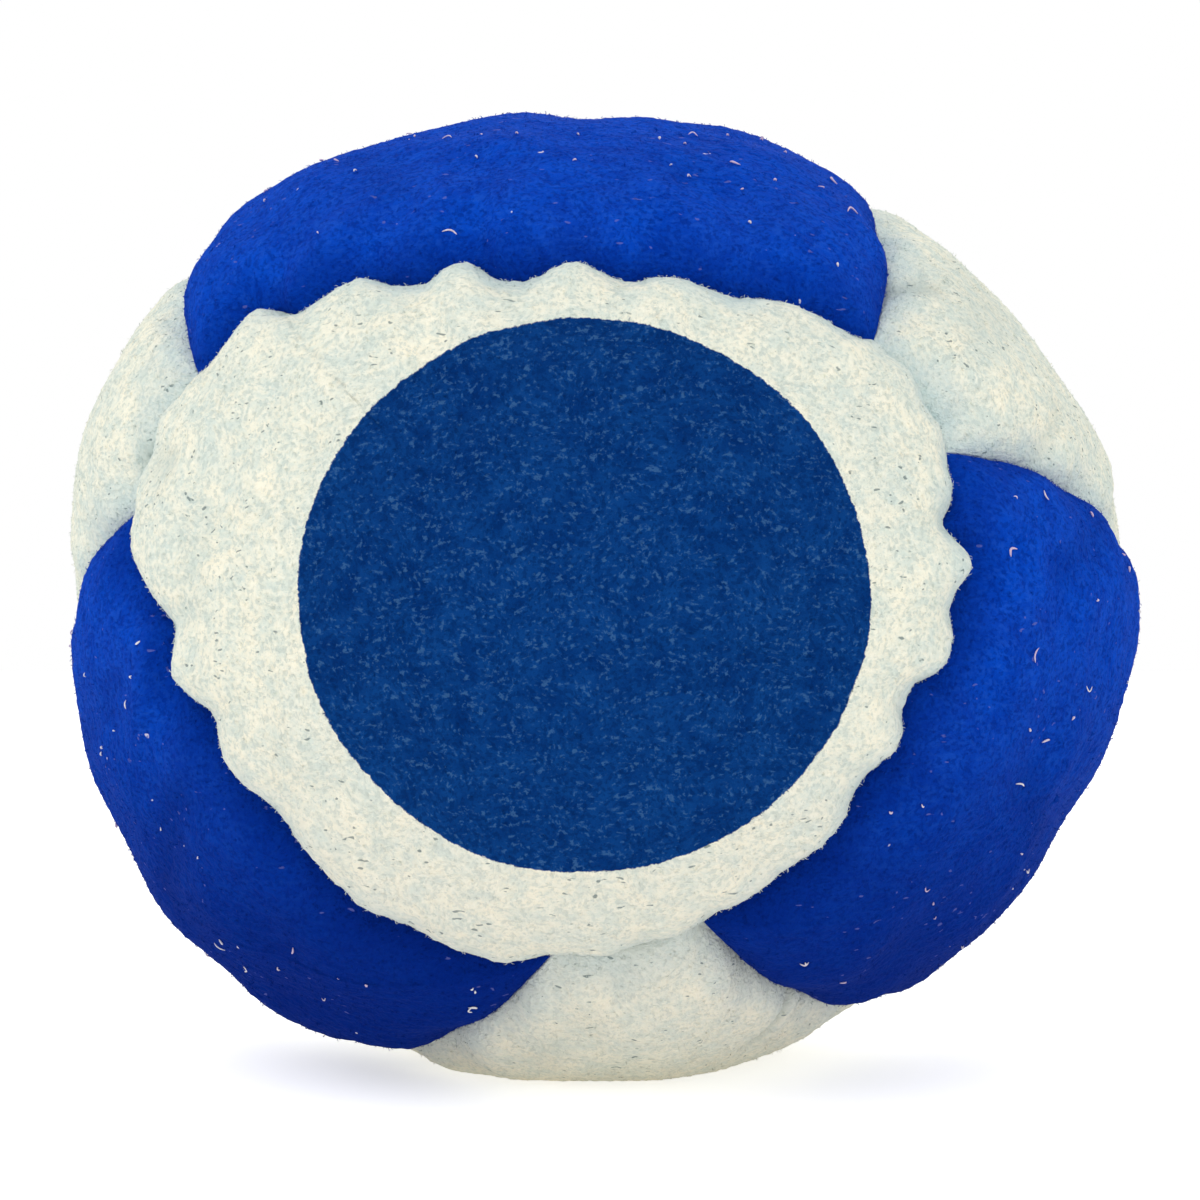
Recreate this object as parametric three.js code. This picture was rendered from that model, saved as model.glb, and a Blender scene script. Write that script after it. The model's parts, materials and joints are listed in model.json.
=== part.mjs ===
// A footbag: eight suede panels sewn edge to edge into a round bag the size of a small fist, and filled
// with plastic pellets. Four panels are white and six-sided, and four are blue and three-cornered. Each
// white panel meets three blue ones along long seams, and three white ones along short seams. The edge of
// the printed panel bows out over its blue neighbours, so that it looks nearly round, and the edges of the
// other three bow in.
// Every panel is turned in along its seams, so a seam lies in a valley between two crowns.
// Millimetres, +Z up. The printed white panel faces -Y, and +X is to the right of someone who looks at it.
// The origin is where the bag rests, under the middle of its length and width.
import * as THREE from 'three';
import { mergeVertices } from 'three/addons/utils/BufferGeometryUtils.js';

// The bag's size, measured from its middle to the crowns
const HALF_WIDTH = 28.1;
const HALF_DEPTH = 24.4;
const HALF_HEIGHT = 24.8;
// How far the bag's own weight flattens its underside
const REST_SQUASH = 1.1;

// The suede and its seams
const SUEDE_THICKNESS = 0.9;
const SEAM_GAP = 0.3;
const SEAM_ALLOWANCE = 2.0;
const VALLEY_DEPTH = 2.1;
const WHITE_LIP_WIDTH = 6.0;
const BLUE_LIP_WIDTH = 5.0;
const GATHER_SWAY = 0.25;
const GATHER_SWELL = 0.25;

// The thread that zigzags under the raw edges of each seam, from corner to corner
const THREAD_SWING = 1.1;
const THREAD_RADIUS = 0.2;
const THREAD_CLEARANCE = 0.45;
const STITCH_PITCH = 3.0;
const THREAD_START = 2.0;

// The pellets
const PELLET_CLEARANCE = 0.5;
const PELLET_PIT_DEPTH = 0.8;
const PELLET_SHOULDER = 3.4;
const PELLET_SLOPE = 5.0;

// The bag isn't an even ball: the pellets have slumped to the left and to the ground. Each swelling has
// its direction and reach in degrees, and its rise as a share of the bag's radius there.
const SWELLINGS = [
  { polar: 80, azimuth: 134, reach: 32, riseShare: 0.063 },
  { polar: 80, azimuth: 222, reach: 25, riseShare: 0.05 },
  { polar: 80, azimuth: 256, reach: 30, riseShare: 0.04 },
  { polar: 80, azimuth: 33, reach: 25, riseShare: -0.046 },
  { polar: 80, azimuth: 338, reach: 16, riseShare: -0.031 },
];

// Each panel's suede
const PANELS = {
  front: 'white',
  upper_left: 'white',
  upper_right: 'white',
  bottom: 'white',
  top: 'blue',
  left: 'blue',
  right: 'blue',
  back: 'blue',
};

// The twelve places where three panels meet, as directions from the bag's middle in degrees. polar is
// the angle from the middle of the print, and azimuth goes from the right, at 0, up to the top, at 90.
const CORNERS = [
  { meet: ['front', 'top', 'upper_left'], polar: 62, azimuth: 152 },
  { meet: ['front', 'top', 'upper_right'], polar: 48, azimuth: 44 },
  { meet: ['front', 'left', 'upper_left'], polar: 64, azimuth: 169 },
  { meet: ['front', 'left', 'bottom'], polar: 48, azimuth: 261 },
  { meet: ['front', 'right', 'upper_right'], polar: 46, azimuth: 23 },
  { meet: ['front', 'right', 'bottom'], polar: 44, azimuth: 286 },
  { meet: ['top', 'upper_left', 'upper_right'], polar: 117, azimuth: 95 },
  { meet: ['back', 'upper_left', 'upper_right'], polar: 136, azimuth: 95 },
  { meet: ['left', 'upper_left', 'bottom'], polar: 117, azimuth: 212 },
  { meet: ['back', 'upper_left', 'bottom'], polar: 136, azimuth: 212 },
  { meet: ['right', 'upper_right', 'bottom'], polar: 117, azimuth: 338 },
  { meet: ['back', 'upper_right', 'bottom'], polar: 136, azimuth: 338 },
];

// How far the middle of a seam bows aside from the shortest line between its corners, in degrees: the
// slack blue panels bow over their white neighbours.
const SIDE_BOWS = {
  'top upper_left': 9,
  'top upper_right': 12,
  'left upper_left': 1.5,
  'left bottom': 8,
  'right upper_right': 7,
  'right bottom': 12,
};
const BACK_BOW = 8;

// The tight printed panel bows over its blue neighbours instead, and its edge is gathered unevenly. Each
// long edge goes smoothly through the tips and notches of its gathers, from its first corner to its last.
// Each has its share of the way and how far the edge lies outside the shortest line there, in degrees.
const FRONT_EDGES = {
  top: [
    [0, 0], [0.13, 1.8], [0.195, -0.9], [0.263, 2.7], [0.349, -0.5], [0.417, 2.8], [0.48, -1.3],
    [0.573, 1.9], [0.63, -0.8], [0.695, 0.7], [0.78, -1.2], [0.87, -0.3], [1, 0],
  ],
  right: [
    [0, 0], [0.07, 0.8], [0.14, -0.2], [0.19, 4.9], [0.277, 3.3], [0.345, 6], [0.439, 2.5],
    [0.526, 5], [0.601, 3.2], [0.718, 4.2], [0.805, 2.4], [0.93, 0.6], [1, 0],
  ],
  left: [
    [0, 0], [0.07, 1.2], [0.12, 1], [0.22, -1.9], [0.275, 3.2], [0.353, 0.2], [0.443, 3.7],
    [0.534, 2.3], [0.641, 4.5], [0.709, 5.4], [0.78, 4.1], [0.88, 3.5], [1, 0],
  ],
};
// A tip that stands this many degrees beyond the notches beside it swells the most.
const FULL_GATHER = 2.5;

// How finely the pieces are divided. Each panel has a column of points for each step of its seams, and
// half as many columns at each ring nearer its middle. A long edge of the printed panel has two steps
// for each tip and notch.
const LONG_SEAM_STEPS = 24;
const SHORT_SEAM_STEPS = 8;
const LONG_SEAM_GATHERS = 6;
const SHORT_SEAM_GATHERS = 2;
const LIP_RING_SHARES = [0.14, 0.44];
const CROWN_RING_SHARE = 0.98;
const MIDDLE_RING_SHARES = [0.55, 0.3];
const STEPS_PER_STITCH = 6;
const THREAD_SIDES = 4;
const PELLET_SHARES = 6;

const GROUND = { polar: 90, azimuth: 270 };

const degrees = THREE.MathUtils.degToRad;

// A unit direction from the bag's middle.
function towards({ polar, azimuth }) {
  const p = degrees(polar);
  const a = degrees(azimuth);
  return new THREE.Vector3(Math.sin(p) * Math.cos(a), -Math.cos(p), Math.sin(p) * Math.sin(a));
}

// The distance from the bag's middle to the crowns in one direction: an ellipsoid with its swellings.
function crownRadius(direction) {
  const stretched = new THREE.Vector3(HALF_WIDTH, HALF_DEPTH, HALF_HEIGHT);
  let radius = 1 / direction.clone().divide(stretched).length();
  for (const swelling of SWELLINGS) {
    const away = direction.angleTo(towards(swelling)) / degrees(swelling.reach);
    radius *= 1 + swelling.riseShare * Math.exp(-away * away);
  }
  return radius;
}

const groundDepth = crownRadius(towards(GROUND)) - REST_SQUASH;

// The direction part of the way along the arc from one direction to another.
function between(from, to, share) {
  const angle = from.angleTo(to);
  const a = Math.sin((1 - share) * angle) / Math.sin(angle);
  const b = Math.sin(share * angle) / Math.sin(angle);
  return from.clone().multiplyScalar(a).addScaledVector(to, b).normalize();
}

// The middle direction of a panel's corners.
function panelMiddle(name) {
  const sum = new THREE.Vector3();
  for (const corner of CORNERS.filter(({ meet }) => meet.includes(name))) {
    sum.add(towards(corner));
  }
  return sum.normalize();
}

// The angle that a seam bows towards its first panel, and the steps and gathers along it.
function seamStyle(first, second) {
  if (PANELS[first] === PANELS[second]) {
    return { bow: 0, steps: SHORT_SEAM_STEPS, gathers: SHORT_SEAM_GATHERS };
  }
  const towardsWhite = PANELS[first] === 'white' ? 1 : -1;
  const bow = towardsWhite * (SIDE_BOWS[`${first} ${second}`] ?? BACK_BOW);
  return { bow, steps: LONG_SEAM_STEPS, gathers: LONG_SEAM_GATHERS };
}

// The value at a share of the way through a row of tips and notches, which eases from each to the next.
function eased(points, share) {
  const next = Math.max(1, points.findIndex(([place]) => place >= share));
  const [[from, a], [to, b]] = points.slice(next - 1, next + 1);
  return THREE.MathUtils.lerp(a, b, THREE.MathUtils.smoothstep(share, from, to));
}

// Whether each point of an edge is a notch, at 1, or a tip, at -1, or how far it is on the way to either.
function gathersOf(edge) {
  return edge.map(([share, height], i) => {
    if (i === 0 || i === edge.length - 1) {
      return [share, 0];
    }
    const level = (edge[i - 1][1] + edge[i + 1][1]) / 2;
    return [share, THREE.MathUtils.clamp((level - height) / FULL_GATHER, -1, 1)];
  });
}

// The mean height of an uneven edge between its ends, in degrees.
function meanHeight(edge) {
  const inner = edge.slice(1, -1);
  return inner.reduce((sum, [, height]) => sum + height, 0) / inner.length;
}

// A seam joins the two corners that share both of its panels. The seam sways from side to side, where
// the longer edge of the one panel is gathered into the other's.
class Seam {
  constructor(first, second, start, end) {
    this.first = first;
    this.second = second;
    this.start = start;
    this.end = end;
    Object.assign(this, seamStyle(first, second));
    this.edge = first === 'front' ? FRONT_EDGES[second] : undefined;
    this.from = towards(start);
    this.to = towards(end);
    this.angle = this.from.angleTo(this.to);
    this.side = this.from.clone().cross(this.to).normalize();
    if (this.side.dot(panelMiddle(first)) < 0) {
      this.side.negate();
    }
  }

  // The share of the seam's length at a step. An uneven edge has two steps from each tip or notch to
  // the next.
  shareAt(step) {
    if (!this.edge) {
      return step / this.steps;
    }
    const perPoint = this.steps / (this.edge.length - 1);
    const last = Math.min(Math.floor(step / perPoint), this.edge.length - 2);
    return THREE.MathUtils.lerp(this.edge[last][0], this.edge[last + 1][0], step / perPoint - last);
  }

  // How far the gathers push the seam towards its first panel at a share of its length, from -1 to 1.
  gather(share) {
    if (this.edge) {
      return eased(gathersOf(this.edge), share);
    }
    const fade = Math.sqrt(Math.max(0, Math.sin(Math.PI * share)));
    return fade * Math.sin(2 * Math.PI * this.gathers * share);
  }

  // The angle between the seam and the shortest line between its corners, towards its first panel.
  aside(share) {
    if (this.edge) {
      return -degrees(eased(this.edge, share));
    }
    const sway = (GATHER_SWAY / crownRadius(between(this.from, this.to, share))) * this.gather(share);
    return degrees(this.bow) * Math.sin(Math.PI * share) + sway;
  }

  // The direction at a share of the way between the corners, turned by an angle towards the first panel.
  turned(share, aside) {
    const line = between(this.from, this.to, share);
    return line.multiplyScalar(Math.cos(aside)).addScaledVector(this.side, Math.sin(aside)).normalize();
  }

  // The seam's direction at a share of its length.
  at(share) {
    return this.turned(share, this.aside(share));
  }

  // The same without the gathers: the middle of the tips and notches.
  evenAt(share) {
    const bow = Math.sin(Math.PI * share);
    const aside = this.edge ? -meanHeight(this.edge) * Math.sqrt(bow) : this.bow * bow;
    return this.turned(share, degrees(aside));
  }
}

function findSeams() {
  const seams = [];
  CORNERS.forEach((start, i) => {
    for (const end of CORNERS.slice(i + 1)) {
      const shared = start.meet.filter((name) => end.meet.includes(name));
      if (shared.length === 2) {
        seams.push(new Seam(shared[0], shared[1], start, end));
      }
    }
  });
  return seams;
}

const SEAMS = findSeams();

// A panel's corners in order, anticlockwise for someone who looks at the panel from outside.
function cornersOf(name) {
  const middle = panelMiddle(name);
  const across = new THREE.Vector3(middle.y, -middle.x, 0).normalize();
  const up = middle.clone().cross(across);
  const turn = (corner) => Math.atan2(towards(corner).dot(up), towards(corner).dot(across));
  return CORNERS.filter((corner) => corner.meet.includes(name)).sort((a, b) => turn(a) - turn(b));
}

// The points of a panel's outline in that order: each has its direction, and how far a gather pushes it
// out of this panel, from -1 to 1.
function outlineOf(name) {
  const corners = cornersOf(name);
  const outline = [];
  corners.forEach((corner, i) => {
    const next = corners[(i + 1) % corners.length];
    const seam = SEAMS.find((s) => [s.start, s.end].includes(corner) && [s.start, s.end].includes(next));
    const outwards = seam.first === name ? -1 : 1;
    for (let step = 0; step < seam.steps; step++) {
      const share = seam.shareAt(seam.start === corner ? step : seam.steps - step);
      outline.push({ direction: seam.at(share), swell: outwards * seam.gather(share) });
    }
  });
  return outline;
}

// Adds to each outline point its inward normal, mitred so that walls offset by it stay parallel.
function addMitres(outline) {
  const wall = outline.map((point, j) => {
    const next = outline[(j + 1) % outline.length];
    return point.direction.clone().cross(next.direction).normalize();
  });
  outline.forEach((point, j) => {
    const before = wall[(j + wall.length - 1) % wall.length];
    point.mitre = before.clone().add(wall[j]).divideScalar(1 + before.dot(wall[j]));
  });
  return outline;
}

// Triangles between two rings of points, where one may have half as many points, or only one.
function joinRings(a, b, triangle) {
  const point = (ring, j) => ring[j % ring.length];
  const count = Math.max(a.length, b.length) / (a.length === b.length ? 1 : 2);
  if (a.length === 1) {
    b.forEach((p, j) => triangle(a[0], p, point(b, j + 1)));
  } else if (b.length === 1) {
    a.forEach((p, j) => triangle(p, b[0], point(a, j + 1)));
  } else if (a.length === b.length) {
    for (let j = 0; j < count; j++) {
      triangle(a[j], b[j], point(b, j + 1));
      triangle(a[j], point(b, j + 1), point(a, j + 1));
    }
  } else if (a.length < b.length) {
    for (let j = 0; j < count; j++) {
      triangle(a[j], b[2 * j], b[2 * j + 1]);
      triangle(a[j], b[2 * j + 1], point(a, j + 1));
      triangle(point(a, j + 1), b[2 * j + 1], point(b, 2 * j + 2));
    }
  } else {
    for (let j = 0; j < count; j++) {
      triangle(a[2 * j], b[j], a[2 * j + 1]);
      triangle(a[2 * j + 1], b[j], point(b, j + 1));
      triangle(a[2 * j + 1], point(b, j + 1), point(a, 2 * j + 2));
    }
  }
}

// A closed surface through rings of points, which starts and ends in a single point.
function skin(rings) {
  const places = [];
  const triangle = (...corners) => corners.forEach((corner) => places.push(...corner.toArray()));
  rings.slice(1).forEach((ring, i) => joinRings(rings[i], ring, triangle));
  const geometry = new THREE.BufferGeometry();
  geometry.setAttribute('position', new THREE.Float32BufferAttribute(places, 3));
  return geometry;
}

// Every second point of a ring, as many times over as asked.
function thinned(ring, times) {
  return ring.filter((point, j) => j % 2 ** times === 0);
}

// How far the suede has risen above the seam at a distance from it: a quarter of an ellipse, then level.
function lipRise(distance, width) {
  const left = Math.max(0, 1 - distance / width);
  return VALLEY_DEPTH * Math.sqrt(1 - left * left);
}

// The radius of the panels' outer surface in a direction that lies at a distance from the nearest seam.
function outerRadius(direction, distance, width) {
  return crownRadius(direction) - VALLEY_DEPTH + lipRise(distance, width);
}

// A point at a radius, moved up to the ground, or to the suede's inner side above the ground.
function settled(direction, radius, aboveGround) {
  const place = direction.clone().multiplyScalar(radius);
  place.z = Math.max(place.z, aboveGround - groundDepth);
  return place;
}

// One panel: its outer surface from the middle to the seam, the allowance that is turned in along the
// seam, and the inner surface back to the middle.
class Panel {
  constructor(name) {
    this.outline = addMitres(outlineOf(name));
    this.width = PANELS[name] === 'white' ? WHITE_LIP_WIDTH : BLUE_LIP_WIDTH;
    const sum = new THREE.Vector3();
    for (const point of this.outline) {
      sum.add(point.direction);
    }
    this.middle = name === 'bottom' ? towards(GROUND) : sum.normalize();
  }

  // A point beside the seam's wall, so that the walls of two panels stay the seam's gap apart.
  besideWall({ direction, mitre }, distance, radius) {
    return direction.clone().multiplyScalar(radius).addScaledVector(mitre, distance).setLength(radius);
  }

  lipPoint(point, distance) {
    const swell = GATHER_SWELL * point.swell * (distance > 0 ? 1 : 0);
    const radius = outerRadius(point.direction, distance, this.width) + swell;
    return this.besideWall(point, SEAM_GAP / 2 + distance, radius);
  }

  lipRing(share) {
    return this.outline.map((point) => this.lipPoint(point, share * this.width));
  }

  wallRing(distance, radiusOf) {
    return this.outline.map((point) => this.besideWall(point, distance, radiusOf(point.direction)));
  }

  // A ring on the outer surface, or with a depth on the inner one, at a share of the way from the middle.
  middleRing(shareOf, depth) {
    return this.outline.map(({ direction }) => {
      const arc = this.middle.angleTo(direction);
      const share = shareOf(arc, crownRadius(direction));
      const way = between(this.middle, direction, share);
      const distance = (1 - share) * arc * crownRadius(direction);
      return settled(way, outerRadius(way, distance, this.width) - depth, depth);
    });
  }

  pole(depth) {
    return settled(this.middle, crownRadius(this.middle) - depth, depth);
  }

  geometry() {
    const crown = (arc, radius) => 1 - (CROWN_RING_SHARE * this.width) / (arc * radius);
    const lip = (arc, radius) => 1 - (LIP_RING_SHARES[1] * this.width) / (arc * radius);
    const [wide, narrow] = MIDDLE_RING_SHARES;
    const surface = (depth) => [
      [this.pole(depth)],
      thinned(this.middleRing(() => narrow, depth), 3),
      thinned(this.middleRing(() => wide, depth), 2),
      thinned(this.middleRing(crown, depth), 1),
    ];
    const inside = SEAM_GAP / 2 + SUEDE_THICKNESS;
    const valley = (direction) => crownRadius(direction) - VALLEY_DEPTH;
    const edge = (direction) => valley(direction) - SEAM_ALLOWANCE;
    const shoulder = (direction) => outerRadius(direction, SUEDE_THICKNESS, this.width) - SUEDE_THICKNESS;
    return skin([
      ...surface(0),
      thinned(this.middleRing(lip, 0), 1),
      this.lipRing(LIP_RING_SHARES[0]),
      this.lipRing(0),
      this.wallRing(SEAM_GAP / 2, edge),
      this.wallRing(inside, edge),
      this.wallRing(inside, shoulder),
      ...surface(SUEDE_THICKNESS).reverse(),
    ]);
  }
}

// A tube of a few flat sides through a row of points, with a pointed tip at both ends. Each point has a
// place, and the direction that the tube's first side faces there.
function tube(points, radius, sides) {
  const tip = (end, next) => {
    return end.place.clone().addScaledVector(next.place.clone().sub(end.place).normalize(), -radius);
  };
  const rings = [[tip(points[0], points[1])]];
  const ways = points.slice(1).map(({ place }, i) => place.clone().sub(points[i].place).normalize());
  points.forEach(({ place, facing }, i) => {
    const along = (ways[i - 1] ?? ways[i]).clone().add(ways[i] ?? ways[i - 1]).normalize();
    const across = facing.clone().addScaledVector(along, -facing.dot(along)).normalize();
    const up = along.clone().cross(across);
    const ring = Array.from({ length: sides }, (_, side) => {
      const turn = (-2 * Math.PI * side) / sides;
      const corner = place.clone().addScaledVector(across, radius * Math.cos(turn));
      return corner.addScaledVector(up, radius * Math.sin(turn));
    });
    rings.push(ring);
  });
  rings.push([tip(points.at(-1), points.at(-2))]);
  return skin(rings);
}

// The thread of one seam: it swings from side to side across the two raw edges, just under them.
function threadGeometry(seam) {
  const depth = VALLEY_DEPTH + SEAM_ALLOWANCE + THREAD_CLEARANCE + THREAD_RADIUS;
  const under = (direction) => crownRadius(direction) - depth;
  const length = seam.angle * under(seam.evenAt(1 / 2)) - 2 * THREAD_START;
  const stitches = Math.max(1, Math.round(length / STITCH_PITCH));
  const startShare = THREAD_START / (length + 2 * THREAD_START);
  const steps = stitches * STEPS_PER_STITCH;
  const points = Array.from({ length: steps + 1 }, (_, step) => {
    const share = startShare + ((1 - 2 * startShare) * step) / steps;
    const nearby = (1 - 2 * startShare) / steps / 2;
    const facing = seam.evenAt(share);
    const ahead = seam.evenAt(share + nearby).sub(seam.evenAt(share - nearby));
    const aside = facing.clone().cross(ahead).normalize();
    const swing = THREAD_SWING * Math.sin((2 * Math.PI * step) / STEPS_PER_STITCH);
    return { place: facing.clone().multiplyScalar(under(facing)).addScaledVector(aside, swing), facing };
  });
  return tube(points, THREAD_RADIUS, THREAD_SIDES);
}

// The distance along the surface from a direction to the nearest seam.
function distanceToSeam(direction) {
  let least = Infinity;
  for (const seam of SEAMS) {
    for (let step = 0; step <= seam.steps; step++) {
      least = Math.min(least, direction.angleTo(seam.at(seam.shareAt(step))));
    }
  }
  return least * crownRadius(direction);
}

// The pellets fill the bag as one heap. Its surface fits under the panels, stays clear of the turned-in
// seams and their threads, and has a pit between each three pellets.
function pelletGeometry() {
  const ball = new THREE.IcosahedronGeometry(1, PELLET_SHARES - 1);
  ball.deleteAttribute('normal');
  ball.deleteAttribute('uv');
  const net = mergeVertices(ball);
  const seamDepth = VALLEY_DEPTH + SEAM_ALLOWANCE + 2 * (THREAD_CLEARANCE + THREAD_RADIUS) + PELLET_CLEARANCE;
  const panelDepth = SUEDE_THICKNESS + PELLET_CLEARANCE;
  const heapPoint = (direction, pit) => {
    const beyond = distanceToSeam(direction) - PELLET_SHOULDER;
    const rise = THREE.MathUtils.smoothstep(beyond, 0, PELLET_SLOPE);
    const depth = THREE.MathUtils.lerp(seamDepth, panelDepth, rise) + pit;
    return settled(direction, crownRadius(direction) - depth, panelDepth + pit);
  };
  const from = net.getAttribute('position');
  const directions = Array.from({ length: from.count }, (_, i) => {
    return new THREE.Vector3().fromBufferAttribute(from, i).normalize();
  });
  const heap = directions.map((direction) => heapPoint(direction, 0));
  const places = [];
  for (let i = 0; i < net.index.count; i += 3) {
    const corners = [0, 1, 2].map((k) => net.index.getX(i + k));
    const middle = new THREE.Vector3();
    for (const corner of corners) {
      middle.add(directions[corner]);
    }
    const pit = heapPoint(middle.normalize(), PELLET_PIT_DEPTH);
    corners.forEach((corner, k) => {
      for (const place of [heap[corner], heap[corners[(k + 1) % 3]], pit]) {
        places.push(...place.toArray());
      }
    });
  }
  const geometry = new THREE.BufferGeometry();
  geometry.setAttribute('position', new THREE.Float32BufferAttribute(places, 3));
  return geometry;
}

function suede(color) {
  return new THREE.MeshStandardMaterial({ color, roughness: 0.95, metalness: 0 });
}

const COLORS = { white: 0xe3e8db, blue: 0x0a3cad };

function panelMesh(name) {
  const mesh = new THREE.Mesh(new Panel(name).geometry(), suede(COLORS[PANELS[name]]));
  mesh.name = `${name}_panel`;
  return mesh;
}

function threadMesh(seam) {
  const material = new THREE.MeshStandardMaterial({ color: 0xf0eee6, roughness: 0.6, metalness: 0 });
  const mesh = new THREE.Mesh(threadGeometry(seam), material);
  mesh.name = `seam_thread_${seam.first}_${seam.second}`;
  return mesh;
}

function pelletMesh() {
  const material = new THREE.MeshStandardMaterial({ color: 0xd9d4c6, roughness: 0.45, metalness: 0 });
  const mesh = new THREE.Mesh(pelletGeometry(), material);
  mesh.name = 'pellet_fill';
  return mesh;
}

function buildFootbag() {
  const bag = new THREE.Group();
  for (const name of Object.keys(PANELS)) {
    bag.add(panelMesh(name));
  }
  for (const seam of SEAMS) {
    bag.add(threadMesh(seam));
  }
  bag.add(pelletMesh());
  const box = new THREE.Box3().setFromObject(bag, true);
  const middle = box.getCenter(new THREE.Vector3());
  bag.position.set(-middle.x, -middle.y, -box.min.z);
  const footbag = new THREE.Group();
  footbag.add(bag);
  return footbag;
}

export default buildFootbag();
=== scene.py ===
"""The looks of the footbag: eight panels of napped suede round their CAD threads and pellets.

Each panel is a closed shell of suede, worked out on rings of directions from the bag's middle, with the
same seams as the CAD model. Lengths in the classes are millimetres, apart from the studio's. The meshes are
metres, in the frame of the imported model: +Z up, the printed panel towards -Y, and the origin where the bag
rests.
"""

from __future__ import annotations

import json
import logging
import math
from dataclasses import dataclass, field, replace
from enum import Enum

import bpy
import numpy as np
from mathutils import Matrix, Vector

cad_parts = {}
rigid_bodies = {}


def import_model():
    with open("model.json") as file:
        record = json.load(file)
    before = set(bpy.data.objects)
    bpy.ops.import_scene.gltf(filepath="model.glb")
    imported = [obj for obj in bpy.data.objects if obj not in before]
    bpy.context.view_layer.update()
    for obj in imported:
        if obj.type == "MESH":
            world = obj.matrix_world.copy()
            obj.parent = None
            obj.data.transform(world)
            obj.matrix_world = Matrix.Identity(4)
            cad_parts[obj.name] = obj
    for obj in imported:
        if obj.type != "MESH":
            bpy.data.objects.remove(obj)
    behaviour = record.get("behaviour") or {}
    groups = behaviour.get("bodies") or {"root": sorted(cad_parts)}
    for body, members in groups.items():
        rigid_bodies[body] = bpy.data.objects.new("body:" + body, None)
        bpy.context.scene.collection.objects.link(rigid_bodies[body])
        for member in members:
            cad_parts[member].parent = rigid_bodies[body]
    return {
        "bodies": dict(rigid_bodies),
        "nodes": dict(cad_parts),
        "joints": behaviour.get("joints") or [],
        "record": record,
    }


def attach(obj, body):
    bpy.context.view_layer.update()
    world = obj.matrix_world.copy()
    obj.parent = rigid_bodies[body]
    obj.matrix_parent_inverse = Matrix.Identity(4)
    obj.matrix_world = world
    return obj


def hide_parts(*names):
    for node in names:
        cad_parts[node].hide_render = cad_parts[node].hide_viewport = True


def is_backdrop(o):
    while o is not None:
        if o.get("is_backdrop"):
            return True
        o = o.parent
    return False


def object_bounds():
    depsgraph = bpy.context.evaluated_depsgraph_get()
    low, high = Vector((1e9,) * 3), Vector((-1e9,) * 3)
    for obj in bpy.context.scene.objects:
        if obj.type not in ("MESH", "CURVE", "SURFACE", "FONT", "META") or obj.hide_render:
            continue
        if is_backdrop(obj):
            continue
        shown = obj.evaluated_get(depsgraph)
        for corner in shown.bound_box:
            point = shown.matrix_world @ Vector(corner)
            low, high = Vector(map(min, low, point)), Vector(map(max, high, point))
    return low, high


METRES = 0.001
LOG = logging.getLogger("footbag")

Span = tuple[float, float]
Triple = tuple[float, float, float]
Tone = tuple[float, float, float, float]


class Suede(Enum):
    """The two colours of suede that the bag is sewn from."""

    WHITE = "white"
    BLUE = "blue"


def towards(polar: float, azimuth: float) -> np.ndarray:
    """A unit direction from the bag's middle.

    Args:
        polar: degrees from the middle of the printed side, -Y.
        azimuth: degrees round it, from +X at 0 up to +Z at 90.

    Returns:
        (sin p cos a, -cos p, sin p sin a).
    """
    p, a = math.radians(polar), math.radians(azimuth)
    return np.array([math.sin(p) * math.cos(a), -math.cos(p), math.sin(p) * math.sin(a)])


def unit(vectors: np.ndarray) -> np.ndarray:
    """Vectors divided by their lengths."""
    return vectors / np.linalg.norm(vectors, axis=-1, keepdims=True)


def angle_between(a: np.ndarray, b: np.ndarray) -> np.ndarray:
    """The angle between unit directions in radians: twice the arcsine of half their chord."""
    return 2 * np.arcsin(np.clip(np.linalg.norm(a - b, axis=-1) / 2, 0, 1))


def along_arc(start: np.ndarray, end: np.ndarray, share: np.ndarray) -> np.ndarray:
    """Directions part of the way along great circles.

    Args:
        start: unit directions where the share is 0.
        end: unit directions where the share is 1.
        share: how far along each arc, of any number.

    Returns:
        start sin((1 - share) t) / sin t + end sin(share t) / sin t, with t the angle between them.
    """
    angle = angle_between(start, end)[..., None]
    share = np.asarray(share)[..., None]
    return unit((start * np.sin((1 - share) * angle) + end * np.sin(share * angle)) / np.sin(angle))


def smooth(value: np.ndarray) -> np.ndarray:
    """The ease from 0 to 1: 3 v^2 - 2 v^3, with v kept from 0 to 1."""
    v = np.clip(value, 0, 1)
    return v * v * (3 - 2 * v)


def arched(share: np.ndarray) -> np.ndarray:
    """A round arch from 0 up to 1 and down to 0: sqrt(sin(pi s))."""
    return np.sqrt(np.clip(np.sin(math.pi * share), 0, 1))


def bell(distance: np.ndarray, reach: float) -> np.ndarray:
    """A soft hump: exp(-(distance / reach)^2)."""
    return np.exp(-((distance / reach) ** 2))


def curve_through(heights: np.ndarray, share: np.ndarray) -> np.ndarray:
    """A smooth curve through values at even steps, which never overshoots them.

    Args:
        heights: the values at the shares 0, 1 / n, 2 / n and so on up to 1.
        share: where the curve is wanted, from 0 to 1.

    Returns:
        A cubic over each step. Its slope at each value is the harmonic mean of the steps beside it,
        and 0 at tips and notches.
    """
    steps = np.diff(heights)
    product = steps[:-1] * steps[1:]
    together = np.where(product > 0, steps[:-1] + steps[1:], 1.0)
    slopes = np.concatenate([steps[:1], np.where(product > 0, 2 * product / together, 0.0), steps[-1:]])
    last = np.clip((share * len(steps)).astype(int), 0, len(steps) - 1)
    t = share * len(steps) - last
    turned = slopes[last] * t * (1 - t) ** 2 - slopes[last + 1] * t * t * (1 - t)
    return heights[last] + steps[last] * smooth(t) + turned


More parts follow.
